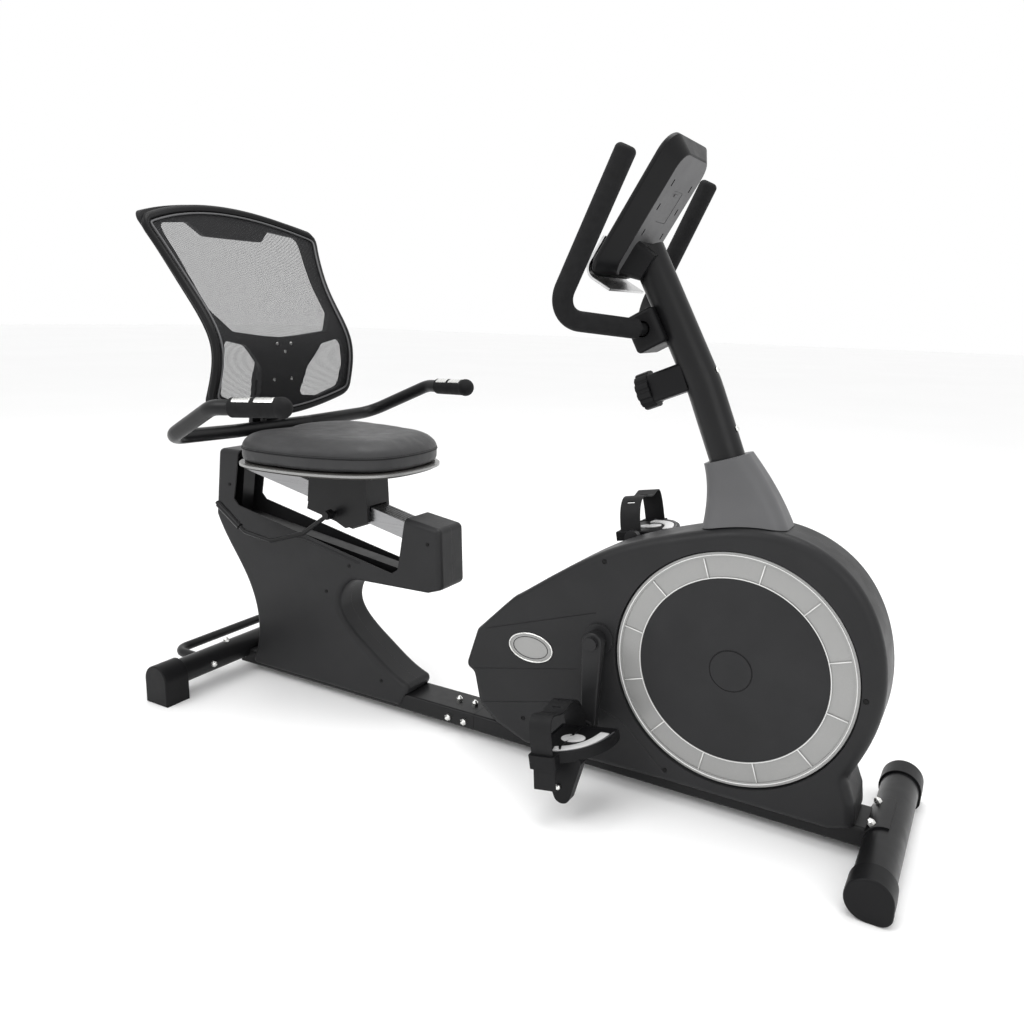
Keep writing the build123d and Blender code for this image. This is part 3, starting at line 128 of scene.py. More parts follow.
# ---------------------------------------------------------------- materials
class Shade:
    """A Principled material whose colour, roughness and bump come from object-space noise."""

    def __init__(self, name, colour, roughness, metallic=0.0, specular=0.5, coat=0.0):
        self.material = bpy.data.materials.new(name)
        self.material.use_nodes = True
        self.nodes = self.material.node_tree.nodes
        self.links = self.material.node_tree.links
        self.shader = self.nodes["Principled BSDF"]
        self.shader.inputs["Metallic"].default_value = metallic
        self.shader.inputs["Specular IOR Level"].default_value = specular
        self.shader.inputs["Coat Weight"].default_value = coat
        self.coords = self.nodes.new("ShaderNodeTexCoord")
        self.colour = colour
        self.roughness = roughness

    def mapped(self, scale, rotation=(0, 0, 0)):
        node = self.nodes.new("ShaderNodeMapping")
        node.inputs["Scale"].default_value = scale
        node.inputs["Rotation"].default_value = rotation
        self.links.new(self.coords.outputs["Object"], node.inputs["Vector"])
        return node.outputs["Vector"]

    def noise(self, scale, detail=2.0, vector=None, rough=0.55):
        node = self.nodes.new("ShaderNodeTexNoise")
        node.inputs["Scale"].default_value = scale
        node.inputs["Detail"].default_value = detail
        node.inputs["Roughness"].default_value = rough
        self.links.new(vector or self.coords.outputs["Object"], node.inputs["Vector"])
        return node.outputs["Fac"]

    def cells(self, scale, vector=None):
        node = self.nodes.new("ShaderNodeTexVoronoi")
        node.inputs["Scale"].default_value = scale
        self.links.new(vector or self.coords.outputs["Object"], node.inputs["Vector"])
        return node.outputs["Distance"]

    def ramp(self, value, low, high, start=0.3, stop=0.7):
        """Value between two numbers, as value goes from start to stop."""
        node = self.nodes.new("ShaderNodeMapRange")
        node.inputs["From Min"].default_value = start
        node.inputs["From Max"].default_value = stop
        node.inputs["To Min"].default_value = low
        node.inputs["To Max"].default_value = high
        self.links.new(value, node.inputs["Value"])
        return node.outputs["Result"]

    def vary_colour(self, value, spread=0.2, start=0.3, stop=0.7):
        """Base colour that moves spread either side of the material's colour."""
        node = self.nodes.new("ShaderNodeValToRGB")
        node.color_ramp.elements[0].position = start
        node.color_ramp.elements[1].position = stop
        node.color_ramp.elements[0].color = [*(c * (1 - spread) for c in self.colour), 1]
        node.color_ramp.elements[1].color = [*(min(1, c * (1 + spread)) for c in self.colour), 1]
        self.links.new(value, node.inputs["Fac"])
        self.links.new(node.outputs["Color"], self.shader.inputs["Base Color"])

    def vary_roughness(self, value, spread=0.06):
        out = self.ramp(value, self.roughness - spread, self.roughness + spread)
        self.links.new(out, self.shader.inputs["Roughness"])

    def bump(self, value, distance, strength=1.0, edge=0.0):
        """Surface relief of the given depth, over edges rounded by a small radius."""
        node = self.nodes.new("ShaderNodeBump")
        node.inputs["Strength"].default_value = strength
        node.inputs["Distance"].default_value = distance
        self.links.new(value, node.inputs["Height"])
        if edge:
            rounding = self.nodes.new("ShaderNodeBevel")
            rounding.samples = 4
            rounding.inputs["Radius"].default_value = edge
            self.links.new(rounding.outputs["Normal"], node.inputs["Normal"])
        self.links.new(node.outputs["Normal"], self.shader.inputs["Normal"])


def moulded(name, colour, roughness, grain=900, depth=0.00012, edge=0.0012, specular=0.5, coat=0.0):
    """Injection-moulded plastic with a fine spark-eroded grain."""
    shade = Shade(name, colour, roughness, specular=specular, coat=coat)
    broad = shade.noise(7, 3)
    shade.vary_colour(broad, 0.10)
    shade.vary_roughness(shade.noise(26, 3), 0.05)
    shade.bump(shade.noise(grain, 2), depth, 0.5, edge)
    return shade.material


def powder_coat(name, colour, roughness=0.36):
    """Satin powder coat: faint orange peel over steel."""
    shade = Shade(name, colour, roughness, specular=0.2, coat=0.04)
    shade.shader.inputs["Coat Roughness"].default_value = 0.25
    shade.vary_colour(shade.noise(12, 3), 0.12)
    shade.vary_roughness(shade.noise(40, 3), 0.05)
    shade.bump(shade.noise(420, 3), 0.0002, 0.4, 0.0008)
    return shade.material


def foam(name, colour):
    """Closed-cell foam sleeve."""
    shade = Shade(name, colour, 0.72, specular=0.15)
    shade.vary_colour(shade.noise(60, 4), 0.16)
    shade.vary_roughness(shade.noise(90, 2), 0.06)
    shade.bump(shade.cells(1100), 0.0003, 0.6)
    return shade.material


def rubber(name, colour):
    """Soft rubber or webbing with a fine ribbed face."""
    shade = Shade(name, colour, 0.55, specular=0.2)
    shade.vary_colour(shade.noise(30, 3), 0.15)
    shade.vary_roughness(shade.noise(60, 2), 0.07)
    shade.bump(shade.noise(700, 2), 0.0003, 0.5, 0.0006)
    return shade.material


def bright_metal(name, colour, roughness, grain=250, edge=0.0005):
    """Zinc-plated or machined metal with fine handling marks."""
    shade = Shade(name, colour, roughness, metallic=1.0)
    shade.vary_colour(shade.noise(120, 3), 0.08)
    shade.vary_roughness(shade.noise(grain, 4), 0.08)
    shade.bump(shade.noise(grain * 2, 2), 0.00005, 0.4, edge)
    return shade.material


def brushed(name, colour, roughness):
    """Aluminium drawn lengthways: streaks run along the seat rail."""
    shade = Shade(name, colour, roughness, metallic=1.0)
    streaks = shade.mapped((6, 900, 900), (0, -RAIL_SLOPE, 0))
    lines = shade.noise(1.0, 3, streaks)
    shade.vary_colour(lines, 0.14)
    shade.vary_roughness(lines, 0.1)
    shade.bump(lines, 0.0001, 0.5, 0.0004)
    return shade.material


def silver_lacquer(name, colour):
    """Silver paint on plastic: tiny flakes under a satin coat."""
    shade = Shade(name, colour, 0.4, metallic=0.55, coat=0.2)
    shade.vary_colour(shade.cells(1600), 0.06)
    shade.vary_roughness(shade.noise(30, 2), 0.04)
    shade.bump(shade.noise(300, 2), 0.00008, 0.3, 0.0006)
    return shade.material


def cast_iron(name, colour):
    shade = Shade(name, colour, 0.5, metallic=0.9)
    shade.vary_colour(shade.noise(40, 5), 0.25)
    shade.vary_roughness(shade.noise(80, 4), 0.12)
    shade.bump(shade.noise(300, 4), 0.0004, 0.6)
    return shade.material


def glass(name, colour):
    """Dark display window with a faint smear in its gloss."""
    shade = Shade(name, colour, 0.08, specular=0.6)
    shade.vary_colour(shade.noise(20, 2), 0.1)
    shade.vary_roughness(shade.noise(14, 3), 0.03)
    return shade.material


def plywood(name, colour):
    shade = Shade(name, colour, 0.6)
    shade.vary_colour(shade.noise(1.0, 4, shade.mapped((4, 60, 500))), 0.25)
    shade.vary_roughness(shade.noise(80, 3), 0.06)
    return shade.material


def vinyl(name, colour):
    """Upholstery vinyl: pebbled grain with soft creases."""
    shade = Shade(name, colour, 0.48, specular=0.28)
    shade.shader.inputs["Sheen Weight"].default_value = 0.06
    shade.vary_colour(shade.noise(9, 4), 0.14)
    shade.vary_roughness(shade.noise(35, 3), 0.06)
    mix = shade.nodes.new("ShaderNodeMath")
    mix.operation = "ADD"
    pebbles = shade.ramp(shade.cells(620), 0.0, 0.6, 0.0, 0.6)
    creases = shade.ramp(shade.noise(28, 4), 0.0, 1.0, 0.35, 0.65)
    shade.links.new(pebbles, mix.inputs[0])
    shade.links.new(creases, mix.inputs[1])
    shade.bump(mix.outputs["Value"], 0.0004, 0.55)
    return shade.material


SLOT_SHADES = {
    "black_tube": powder_coat("powder coat", (0.007, 0.007, 0.0075)),
    "shell_plastic": moulded("charcoal shell", (0.019, 0.019, 0.0198), 0.40, specular=0.16),
    "neck_plastic": moulded("grey cover", (0.095, 0.095, 0.098), 0.42, specular=0.25),
    "black_plastic": moulded("black plastic", (0.006, 0.006, 0.0066), 0.45, specular=0.15),
    "strap_rubber": rubber("black rubber", (0.007, 0.007, 0.0076)),
    "grip_foam": foam("grip foam", (0.009, 0.009, 0.0095)),
    "zinc": bright_metal("zinc plate", (0.78, 0.78, 0.76), 0.28),
    "silver_ring": silver_lacquer("silver lacquer", (0.29, 0.29, 0.285)),
    "aluminium_rail": brushed("drawn aluminium", (0.30, 0.30, 0.305), 0.34),
    "cast_iron": cast_iron("cast iron", (0.22, 0.22, 0.23)),
    "screen_glass": glass("display window", (0.02, 0.024, 0.026)),
    "plywood": plywood("seat board", (0.030, 0.027, 0.024)),
    "seat_vinyl": vinyl("seat vinyl", (0.030, 0.030, 0.031)),
    "mesh_fabric": foam("mesh thread", (0.10, 0.10, 0.105)),
}
# nodes whose finish differs a little from their slot's
OWN_SHADES = {
    "disc_plates": moulded("disc plate", (0.020, 0.020, 0.021), 0.5, grain=600, specular=0.18),
    "crank_arm_right": moulded("crank cover", (0.015, 0.015, 0.0157), 0.36, specular=0.22),
    "crank_arm_left": moulded("crank cover left", (0.015, 0.015, 0.0157), 0.36, specular=0.22),
    "console_back": moulded("console back", (0.006, 0.006, 0.0065), 0.38, specular=0.16),
    "battery_cover": moulded("battery lid", (0.085, 0.085, 0.087), 0.42, specular=0.25),
    "cover_screws": bright_metal("black screws", (0.02, 0.02, 0.02), 0.5),
    "tablet_shelf": bright_metal("silver lip", (0.62, 0.62, 0.62), 0.32),
    "console_front": moulded("console bezel", (0.006, 0.006, 0.0065), 0.34, specular=0.16),
}


def dress_cad_nodes():
    """Every CAD node takes the material of its slot, or its own."""
    slots = {entry["node"]: entry["material_slot"] for entry in frame["record"]["subparts"]}
    for name, node in frame["nodes"].items():
        material = OWN_SHADES.get(name) or SLOT_SHADES[slots[name]]
        node.data.materials.clear()
        node.data.materials.append(material)
        for polygon in node.data.polygons:
            polygon.material_index = 0


def dress_console_panel():
    """The flat rear panel of the console is a lighter grey than the shell round it."""
    mesh = frame["nodes"]["console_back"].data
    mesh.materials.append(moulded("console panel", (0.085, 0.085, 0.087), 0.42, specular=0.25))
    lid = frame["nodes"]["battery_cover"].data
    panel_depth = max(v.co.dot(CONSOLE_REARWARD) for v in lid.vertices)
    for polygon in mesh.polygons:
        faces_back = polygon.normal.dot(CONSOLE_REARWARD) > 0.995
        if faces_back and abs(polygon.center.dot(CONSOLE_REARWARD) - panel_depth) < 0.0012:
            polygon.material_index = 1


dress_cad_nodes()
dress_console_panel()


# ---------------------------------------------------------------- seat cushion
def swell(piece, pressure, cap):
    """Puffs a closed form with a short cloth simulation, and keeps each point within cap of its start."""
    start = [v.co.copy() for v in piece.data.vertices]
    cloth = piece.modifiers.new("cloth", "CLOTH")
    settings = cloth.settings
    settings.quality = 6
    settings.tension_stiffness = 18
    settings.compression_stiffness = 18
    settings.shear_stiffness = 8
    settings.bending_stiffness = 0.6
    settings.use_pressure = True
    settings.uniform_pressure_force = pressure
    settings.effector_weights.gravity = 0
    scene = bpy.context.scene
    for step in range(1, 21):
        scene.frame_set(step)
    graph = bpy.context.evaluated_depsgraph_get()
    puffed = piece.evaluated_get(graph).data
    ends = [v.co.copy() for v in puffed.vertices]
    piece.modifiers.remove(cloth)
    scene.frame_set(1)
    for vertex, was, now in zip(piece.data.vertices, start, ends):
        move = now - was
        if move.length > cap:
            move = move.normalized() * cap
        vertex.co = was + move


def outline_at(tree, middle, height, count=160):
    """Closed loop of points where a horizontal plane meets a solid, seen from its middle."""
    loop = []
    for k in range(count):
        angle = FULL_TURN * k / count
        way = Vector((math.cos(angle), math.sin(angle), 0))
        hit = tree.ray_cast(Vector((middle.x, middle.y, height)) + way * 0.6, -way)[0]
        if hit is not None:
            loop.append(hit)
    return loop


def make_seat():
    """Moulded cushion: crowned top, pulled-in side, welted seam, on the CAD seat board."""
    low, high = (Vector(c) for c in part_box("seat_pad"))
    tree = node_tree("seat_pad")
    middle = centre("seat_pad")
    base_z, top_z = low.z, high.z
    height = top_z - base_z
    # (share of the height, inset from the pad's outline in metres)
    profile = [
        (0.00, 0.012), (0.04, 0.004), (0.16, 0.0015), (0.32, 0.0035), (0.46, 0.0015),
        (0.60, 0.003), (0.76, 0.010), (0.89, 0.024), (0.97, 0.045), (1.00, 0.080),
    ]
    outline = outline_at(tree, middle, base_z + 0.3 * height)

    def build(bm):
        rings = []
        for share, inset in profile:
            ring = []
            for point in outline:
                out = Vector((point.x - middle.x, point.y - middle.y, 0))
                spot = Vector((middle.x, middle.y, base_z + share * height)) + out * (1 - inset / out.length)
                ring.append(bm.verts.new(spot))
            rings.append(ring)
        join_rings(bm, rings)

    cushion = new_piece("seat_cushion", build)
    remesh = cushion.modifiers.new("remesh", "REMESH")
    remesh.mode = "VOXEL"
    remesh.voxel_size = 0.0055
    apply_modifiers(cushion)
    swell(cushion, 3.0, 0.0035)
    # the underside stays flat on the board, and the top dips a little where the rider sits
    for vertex in cushion.data.vertices:
        along = (vertex.co.x - middle.x + 0.03) / 0.15
        across = vertex.co.y / 0.13
        dip = 0.006 * math.exp(-(along ** 2 + across ** 2))
        share = (vertex.co.z - base_z) / height
        vertex.co.z -= dip * max(0.0, share)
        vertex.co.z = min(max(vertex.co.z, base_z), top_z + 0.004)
    smooth_and_subdivide(cushion)
    cushion.data.materials.append(SLOT_SHADES["seat_vinyl"])
    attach(cushion, "seat")
    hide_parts("seat_pad")

    skin = BVHTree.FromPolygons(
        [v.co for v in cushion.data.vertices], [p.vertices for p in cushion.data.polygons]
    )
    welt_path = outline_at(skin, middle, base_z + 0.47 * height, 220)
    welt = new_piece("seat_welt", lambda bm: add_tube(bm, welt_path, 0.0016, closed=True, sides=8))
    welt.data.materials.append(SLOT_SHADES["strap_rubber"])
    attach(welt, "seat")
    make_stitches(skin, middle, base_z + 0.53 * height)


def make_stitches(skin, middle, height):
    """Row of short stitches just above the seat's welt."""
    loop = outline_at(skin, middle, height, 260)

    def build(bm):
        for here, ahead in zip(loop, loop[1:] + loop[:1]):
            out = Vector((here.x - middle.x, here.y - middle.y, 0)).normalized() * 0.0002
            run = (ahead - here) * 0.62
            add_tube(bm, [here + out, here + run * 0.5 + out * 3, here + run + out], 0.00045, sides=5)

    stitches = new_piece("seat_stitches", build)
    stitches.data.materials.append(SLOT_SHADES["strap_rubber"])
    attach(stitches, "seat")


def apply_modifiers(piece):
    """Bakes a piece's modifiers into its mesh."""
    graph = bpy.context.evaluated_depsgraph_get()
    mesh = bpy.data.meshes.new_from_object(piece.evaluated_get(graph))
    piece.modifiers.clear()
    old = piece.data
    piece.data = mesh
    bpy.data.meshes.remove(old)
    for polygon in mesh.polygons:
        polygon.use_smooth = True


def smooth_and_subdivide(piece):
    """Takes out voxel steps, then adds one subdivision."""
    relax = piece.modifiers.new("relax", "SMOOTH")
    relax.factor = 0.6
    relax.iterations = 8
    finer = piece.modifiers.new("finer", "SUBSURF")
    finer.levels = 1
    finer.render_levels = 1
    apply_modifiers(piece)


# ---------------------------------------------------------------- backrest mesh and rim
BACK_ROWS, BACK_COLUMNS = 90, 60


def front_of(tree, y, z):
    """Point where a ray from the front meets a node at the given y and z, or None."""
    return tree.ray_cast(Vector((0.2, y, z)), Vector((-1, 0, 0)))[0]


def half_width(tree, z, widest=0.30):
    """Half-width of the backrest at a height, found by halving the interval."""
    inside, outside = 0.0, widest
    for _ in range(18):
        middle = (inside + outside) / 2
        if front_of(tree, middle, z) is None:
            outside = middle
        else:
            inside = middle
    return inside


def make_backrest():
    """Stretched ribbed mesh on the CAD back frame, with a rounded rim round its edge."""
    tree = node_tree("backrest_mesh")
    low, high = (Vector(c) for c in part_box("backrest_mesh"))
    # the sides end lower than the middle at the top, and higher at the bottom
    side_low, side_high = low.z + 0.040, high.z - 0.041
    grid = []
    for row in range(BACK_ROWS + 1):
        v = row / BACK_ROWS
        side_z = side_low + (side_high - side_low) * v
        middle_z = low.z + 0.0015 + (high.z - low.z - 0.003) * v
        reach = half_width(tree, side_z) - 0.0005
        line = []
        for column in range(BACK_COLUMNS + 1):
            u = 2 * column / BACK_COLUMNS - 1
            z = middle_z + (side_z - middle_z) * u * u
            hit = None
            shrink = 1.0
            while hit is None and shrink > 0.8:
                hit = front_of(tree, u * reach * shrink, z)
                shrink -= 0.01
            line.append(hit)
        grid.append(line)

    def build(bm):
        uv = bm.loops.layers.uv.new("weave")
        verts = [[bm.verts.new(p) for p in line] for line in grid]
        for r in range(BACK_ROWS):
            for c in range(BACK_COLUMNS):
                face = bm.faces.new((verts[r][c], verts[r][c + 1], verts[r + 1][c + 1], verts[r + 1][c]))
                corners = [(c, r), (c + 1, r), (c + 1, r + 1), (c, r + 1)]
                for loop, (i, j) in zip(face.loops, corners):
                    loop[uv].uv = (i / BACK_COLUMNS, j / BACK_ROWS)

    sheet = new_piece("back_mesh", build)
    sheet.data.materials.append(mesh_fabric("ribbed mesh"))
    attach(sheet, "seat")
    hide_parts("backrest_mesh")

    edge = grid[0] + [line[-1] for line in grid[1:]] + grid[-1][-2::-1] + [line[0] for line in grid[-2:0:-1]]
    edge = smooth_loop(edge, 2)
    rim_shift = Vector((-0.004, 0, 0))
    rim_path = [p + rim_shift for p in widen(edge, 0.006)]
    rim = new_piece("back_rim", lambda bm: add_tube(bm, rim_path, 0.0085, closed=True, sides=12))
    rim.data.materials.append(OWN_SHADES["console_back"])
    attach(rim, "seat")
    lip_path = [p + Vector((0.0045, 0, 0)) for p in widen(edge, -0.004)]
    lip = new_piece("back_lip", lambda bm: add_tube(bm, lip_path, 0.0022, closed=True, sides=8))
    lip.data.materials.append(SLOT_SHADES["neck_plastic"])
    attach(lip, "seat")


def smooth_loop(points, passes):
    """Closed loop with each point moved towards the middle of its neighbours."""
    for _ in range(passes):
        count = len(points)
        points = [(points[i - 1] + points[i] * 2 + points[(i + 1) % count]) / 4 for i in range(count)]
    return points


def widen(points, amount):
    """Closed loop moved outward in the YZ plane."""
    count = len(points)
    moved = []
    for i, point in enumerate(points):
        run = points[(i + 1) % count] - points[i - 1]
        out = Vector((0, run.z, -run.y)).normalized()
        moved.append(point + out * amount)
    return moved


def mesh_fabric(name):
    """Open ribbed mesh: upright ribs and fine cross threads, with see-through gaps between them."""
    shade = Shade(name, (0.020, 0.020, 0.021), 0.6, specular=0.12)
    ribs = stripes(shade, "X", 118)
    threads = stripes(shade, "Y", 330)
    shade.vary_colour(ribs, 0.5, 0.3, 0.8)
    shade.vary_roughness(shade.noise(300, 2), 0.08)
    shade.bump(ribs, 0.0008, 0.8)
    rib_cover = shade.ramp(ribs, 0.0, 1.0, 0.44, 0.58)
    thread_cover = shade.ramp(threads, 0.0, 0.55, 0.55, 0.7)
    cover = shade.nodes.new("ShaderNodeMath")
    cover.operation = "MAXIMUM"
    shade.links.new(rib_cover, cover.inputs[0])
    shade.links.new(thread_cover, cover.inputs[1])
    shade.links.new(cover.outputs["Value"], shade.shader.inputs["Alpha"])
    return shade.material


def stripes(shade, axis, count):
    """Smooth stripes from 0 to 1, count of them over the sheet's UV width or height."""
    split = shade.nodes.new("ShaderNodeSeparateXYZ")
    shade.links.new(shade.coords.outputs["UV"], split.inputs["Vector"])
    turn = shade.nodes.new("ShaderNodeMath")
    turn.operation = "MULTIPLY"
    turn.inputs[1].default_value = count * FULL_TURN
    shade.links.new(split.outputs[axis], turn.inputs[0])
    swing = shade.nodes.new("ShaderNodeMath")
    swing.operation = "SINE"
    shade.links.new(turn.outputs["Value"], swing.inputs[0])
    return shade.ramp(swing.outputs["Value"], 0.0, 1.0, -1.0, 1.0)


make_seat()
make_backrest()


# ---------------------------------------------------------------- badges on the drive shell
def ellipse(spot, half_w, half_h, facing, count=64):
    """Loop of points round an ellipse that stands in the XZ plane at spot."""
    loop = []
    for k in range(count):
        angle = FULL_TURN * k / count
        loop.append(spot + Vector((math.cos(angle) * half_w, 0, math.sin(angle) * half_h * facing)))
    return loop


def make_badges():
    """Blank oval badge on each side of the drive shell: domed plate inside a bright raised rim."""
    low, high = (Vector(c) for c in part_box("drive_shell_right"))
    middle = low.x + 0.193 * (high.x - low.x)
    height = low.z + 0.413 * (high.z - low.z)
    half_w, half_h = 0.049, 0.0295
    for side, facing in (("right", -1), ("left", 1)):
        face_y = facing * 0.058
        spot = Vector((middle, face_y, height))

        def build(bm, spot=spot, facing=facing):
            rings = []
            for share, rise in ((1.0, 0.0004), (0.96, 0.0012), (0.6, 0.0019), (0.25, 0.0022)):
                ring = ellipse(spot, half_w * share, half_h * share, facing)
                rings.append([bm.verts.new(p + Vector((0, facing * rise, 0))) for p in ring])
            join_rings(bm, rings)

        plate = new_piece("badge_" + side, build)
        plate.data.materials.append(SLOT_SHADES["silver_ring"])
        rim_path = ellipse(spot + Vector((0, facing * 0.001, 0)), half_w, half_h, facing)
        rim = new_piece(
            "badge_rim_" + side, lambda bm: add_tube(bm, rim_path, 0.0016, closed=True, sides=8)
        )
        rim.data.materials.append(SLOT_SHADES["zinc"])
        # black line in the badge's groove: painted shade in the recess
        groove_shade_path = ellipse(spot + Vector((0, facing * 0.0018, 0)), half_w * 0.8, half_h * 0.76, facing)
        groove_shade_line = new_piece(
            "badge_groove_shade_" + side, lambda bm: add_tube(bm, groove_shade_path, 0.0007, closed=True, sides=6)
        )
        groove_shade_line.data.materials.append(SLOT_SHADES["black_plastic"])
        for piece, slot in ((plate, "silver_ring"), (rim, "zinc"), (groove_shade_line, "black_plastic")):
            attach(piece, "frame")


# ---------------------------------------------------------------- pulse plates on the side handles
def long_axis(node, sign):
    """Middle and direction of the half of a node on one side of the bike, from its vertices."""
    points = [v.co for v in frame["nodes"][node].data.vertices if v.co.y * sign > 0]
    middle = sum((Vector(p) for p in points), Vector()) / len(points)
    far = max(points, key=lambda p: (Vector(p) - middle).length)
    way = (Vector(far) - middle).normalized()
    for _ in range(8):
        total = Vector()
        for p in points:
            step = Vector(p) - middle
            total += step * step.dot(way)
        way = total.normalized()
    if way.x < 0:
        way = -way
    reach = [(Vector(p) - middle).dot(way) for p in points]
    return middle, way, min(reach), max(reach)


PULSE_PLATE_R = 0.0199


def make_pulse_plates():
    """Two bright contact plates let into the top of each grip."""
    for side, sign in (("right", -1), ("left", 1)):
        middle, way, start, stop = long_axis("pulse_grips", sign)
        up = (Vector((0, 0, 1)) - way * way.z).normalized()
        across = way.cross(up)
        radius = PULSE_PLATE_R
        for name, begin, end in (("rear", 0.06, 0.38), ("front", 0.42, 0.76)):
            a = start + (stop - start) * begin
            b = start + (stop - start) * end

            def build(bm, a=a, b=b):
                rows = []
                steps, turns = 14, 10
                for i in range(steps + 1):
                    row = []
                    for k in range(turns + 1):
                        angle = math.radians(-62 + 124 * k / turns)
                        slant = 0.004 * (k / turns - 0.5)
                        point = middle + way * (a + (b - a) * i / steps + slant)
                        out = up * math.cos(angle) + across * math.sin(angle)
                        rim = min(i, steps - i) == 0 or min(k, turns - k) == 0
                        row.append(bm.verts.new(point + out * (radius - (0.0012 if rim else 0))))
                    rows.append(row)
                for low_row, high_row in zip(rows, rows[1:]):
                    for k in range(turns):
                        bm.faces.new((low_row[k], low_row[k + 1], high_row[k + 1], high_row[k]))

            plate = new_piece(f"pulse_plate_{name}_{side}", build)
            solid = plate.modifiers.new("body", "SOLIDIFY")
            solid.thickness = 0.0012
            solid.offset = -1
            apply_modifiers(plate)
            plate.data.materials.append(SLOT_SHADES["zinc"])
            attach(plate, "seat")


# ---------------------------------------------------------------- pedal treads
OVAL_POINTS, OVAL_HALF_X, OVAL_HALF_Y = 40, 0.024, 0.017
STRIP_STEPS = 32


def make_pedal_treads():
    """Treads on each pedal: a pale oval over the spindle, and a pale arc inside a grey rim along the edge."""
    for side, sign in (("right", -1), ("left", 1)):
        node = "pedal_" + side
        tree = node_tree(node)
        low, high = (Vector(c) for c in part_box(node))

        def top(x, y, tree=tree, high=high):
            """Point on the pedal's upper side under x and y, or None."""
            return tree.ray_cast(Vector((x, y, high.z + 0.05)), Vector((0, 0, -1)))[0]

        length_x = high.x - low.x
        in_y = sign * (min(abs(low.y), abs(high.y)))
        out_y = sign * (max(abs(low.y), abs(high.y)) - 0.02)
        mid = Vector((low.x + 0.42 * length_x, in_y + 0.46 * (out_y - in_y), 0))

        def pad(bm, loop, lift):
            """Raised pad with a rounded edge that follows the tread's surface."""
            rings = []
            centre_point = sum(loop, Vector()) / len(loop)
            for share, rise in ((1.0, -0.0008), (0.985, lift * 0.7), (0.94, lift), (0.5, lift)):
                ring = []
                for p in loop:
                    q = centre_point.lerp(p, share)
                    spot = top(q.x, q.y)
                    base = spot if spot is not None else Vector((q.x, q.y, high.z - 0.01))
                    ring.append(bm.verts.new(base + Vector((0, 0, rise))))
                rings.append(ring)
            join_rings(bm, rings)

        oval = []
        for k in range(OVAL_POINTS):
            angle = FULL_TURN * k / OVAL_POINTS
            oval.append(mid + Vector((OVAL_HALF_X * math.cos(angle), OVAL_HALF_Y * math.sin(angle), 0)))
        pads = new_piece("tread_pad_" + side, lambda bm: pad(bm, oval, 0.002))
        edge_in = Vector((high.x - 0.001, in_y + sign * 0.006, 0))
        edge_out = Vector((low.x + 0.30 * length_x, out_y + sign * 0.003, 0))
        pull = Vector((high.x - 0.004, out_y - sign * 0.012, 0))

        def along(t, inward):
            """Point on the pedal's curved outer edge, moved towards the heel and the bike."""
            spot = edge_in * (1 - t) ** 2 + pull * 2 * t * (1 - t) + edge_out * t ** 2
            run = ((pull - edge_in) * (1 - t) + (edge_out - pull) * t).normalized()
            out = Vector((-run.y, run.x, 0)) * sign
            return spot - out * inward * (1 if out.y * sign > 0 else -1)

        def strip(bm, near, far, lift, first=0.0, last=1.0):
            """Long raised strip between two distances from the outer edge."""
            # (share of the strip's width, height over the tread)
            section = [
                (0, -0.002), (0.03, lift * 0.75), (0.12, lift),
                (0.88, lift), (0.97, lift * 0.75), (1, -0.002),
            ]
            rows = []
            for i in range(STRIP_STEPS + 1):
                t = first + (last - first) * i / STRIP_STEPS
                row = []
                for share, rise in section:
                    q = along(t, near + (far - near) * share)
                    hit = top(q.x, q.y)
                    if hit is not None and hit.z > high.z - 0.045:
                        level = hit.z
                    elif row:
                        level = row[-1].co.z
                    else:
                        level = high.z - 0.02
                    row.append(bm.verts.new(Vector((q.x, q.y, level + rise))))
                rows.append(row)
            join_rings(bm, rows)

        arc = new_piece("tread_arc_" + side, lambda bm: strip(bm, 0.011, 0.031, 0.0022, 0.10, 0.97))
        rim = new_piece("tread_rim_" + side, lambda bm: strip(bm, 0.005, 0.0092, 0.0016, 0.06, 1.0))
        treads = (
            (pads, PALE_PAD, "silver_ring"),
            (arc, PALE_PAD, "silver_ring"),
            (rim, SLOT_SHADES["neck_plastic"], "neck_plastic"),
        )
        for piece, finish, slot in treads:
            piece.data.materials.append(finish)
            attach(piece, side + "_pedal")


# ---------------------------------------------------------------- console face
def make_console_face():
    """Generic display: a row of bars of different heights, over two rows of blank blocks."""
    low, high = (Vector(c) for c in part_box("console_screen"))
    middle = (low + high) / 2
    out = -CONSOLE_REARWARD
    up = CONSOLE_UP
    across = Vector((0, 1, 0))
    half_depth = 0.00305
    face = middle + out * half_depth

    def bar(bm, u, v, half_u, half_v):
        corners = [(-1, -1), (1, -1), (1, 1), (-1, 1)]
        upper = [
            bm.verts.new(face + across * (u + a * half_u) + up * (v + b * half_v) + out * 0.0004)
            for a, b in corners
        ]
        lower = [
            bm.verts.new(face + across * (u + a * half_u) + up * (v + b * half_v) - out * 0.0006)
            for a, b in corners
        ]
        bm.faces.new(upper)
        bm.faces.new(lower[::-1])
        for k in range(4):
            j = (k + 1) % 4
            bm.faces.new((upper[k], lower[k], lower[j], upper[j]))

    def build(bm):
        for k in range(12):
            height = 0.004 + 0.012 * abs(math.sin(k * 0.9))
            bar(bm, -0.055 + k * 0.01, 0.012 + height / 2, 0.0032, height)
        for row in range(2):
            for k in range(3):
                bar(bm, -0.045 + k * 0.045, -0.018 - row * 0.014, 0.016, 0.0035)

    bars = new_piece("display_bars", build, smooth=False)
    bars.data.materials.append(DISPLAY_BAR)
    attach(bars, "frame")


# ---------------------------------------------------------------- painted highlights on the side rings
RING_OUTER_R, RING_OUTER_BEAD = 0.2150, 0.0011
RING_INNER_R, RING_INNER_BEAD = 0.1735, 0.0009
RIB_COUNT, RIB_TURN, RIB_START_R, RIB_LONG, RIB_BEAD = 12, math.radians(17.92), 0.1745, 0.0360, 0.0012


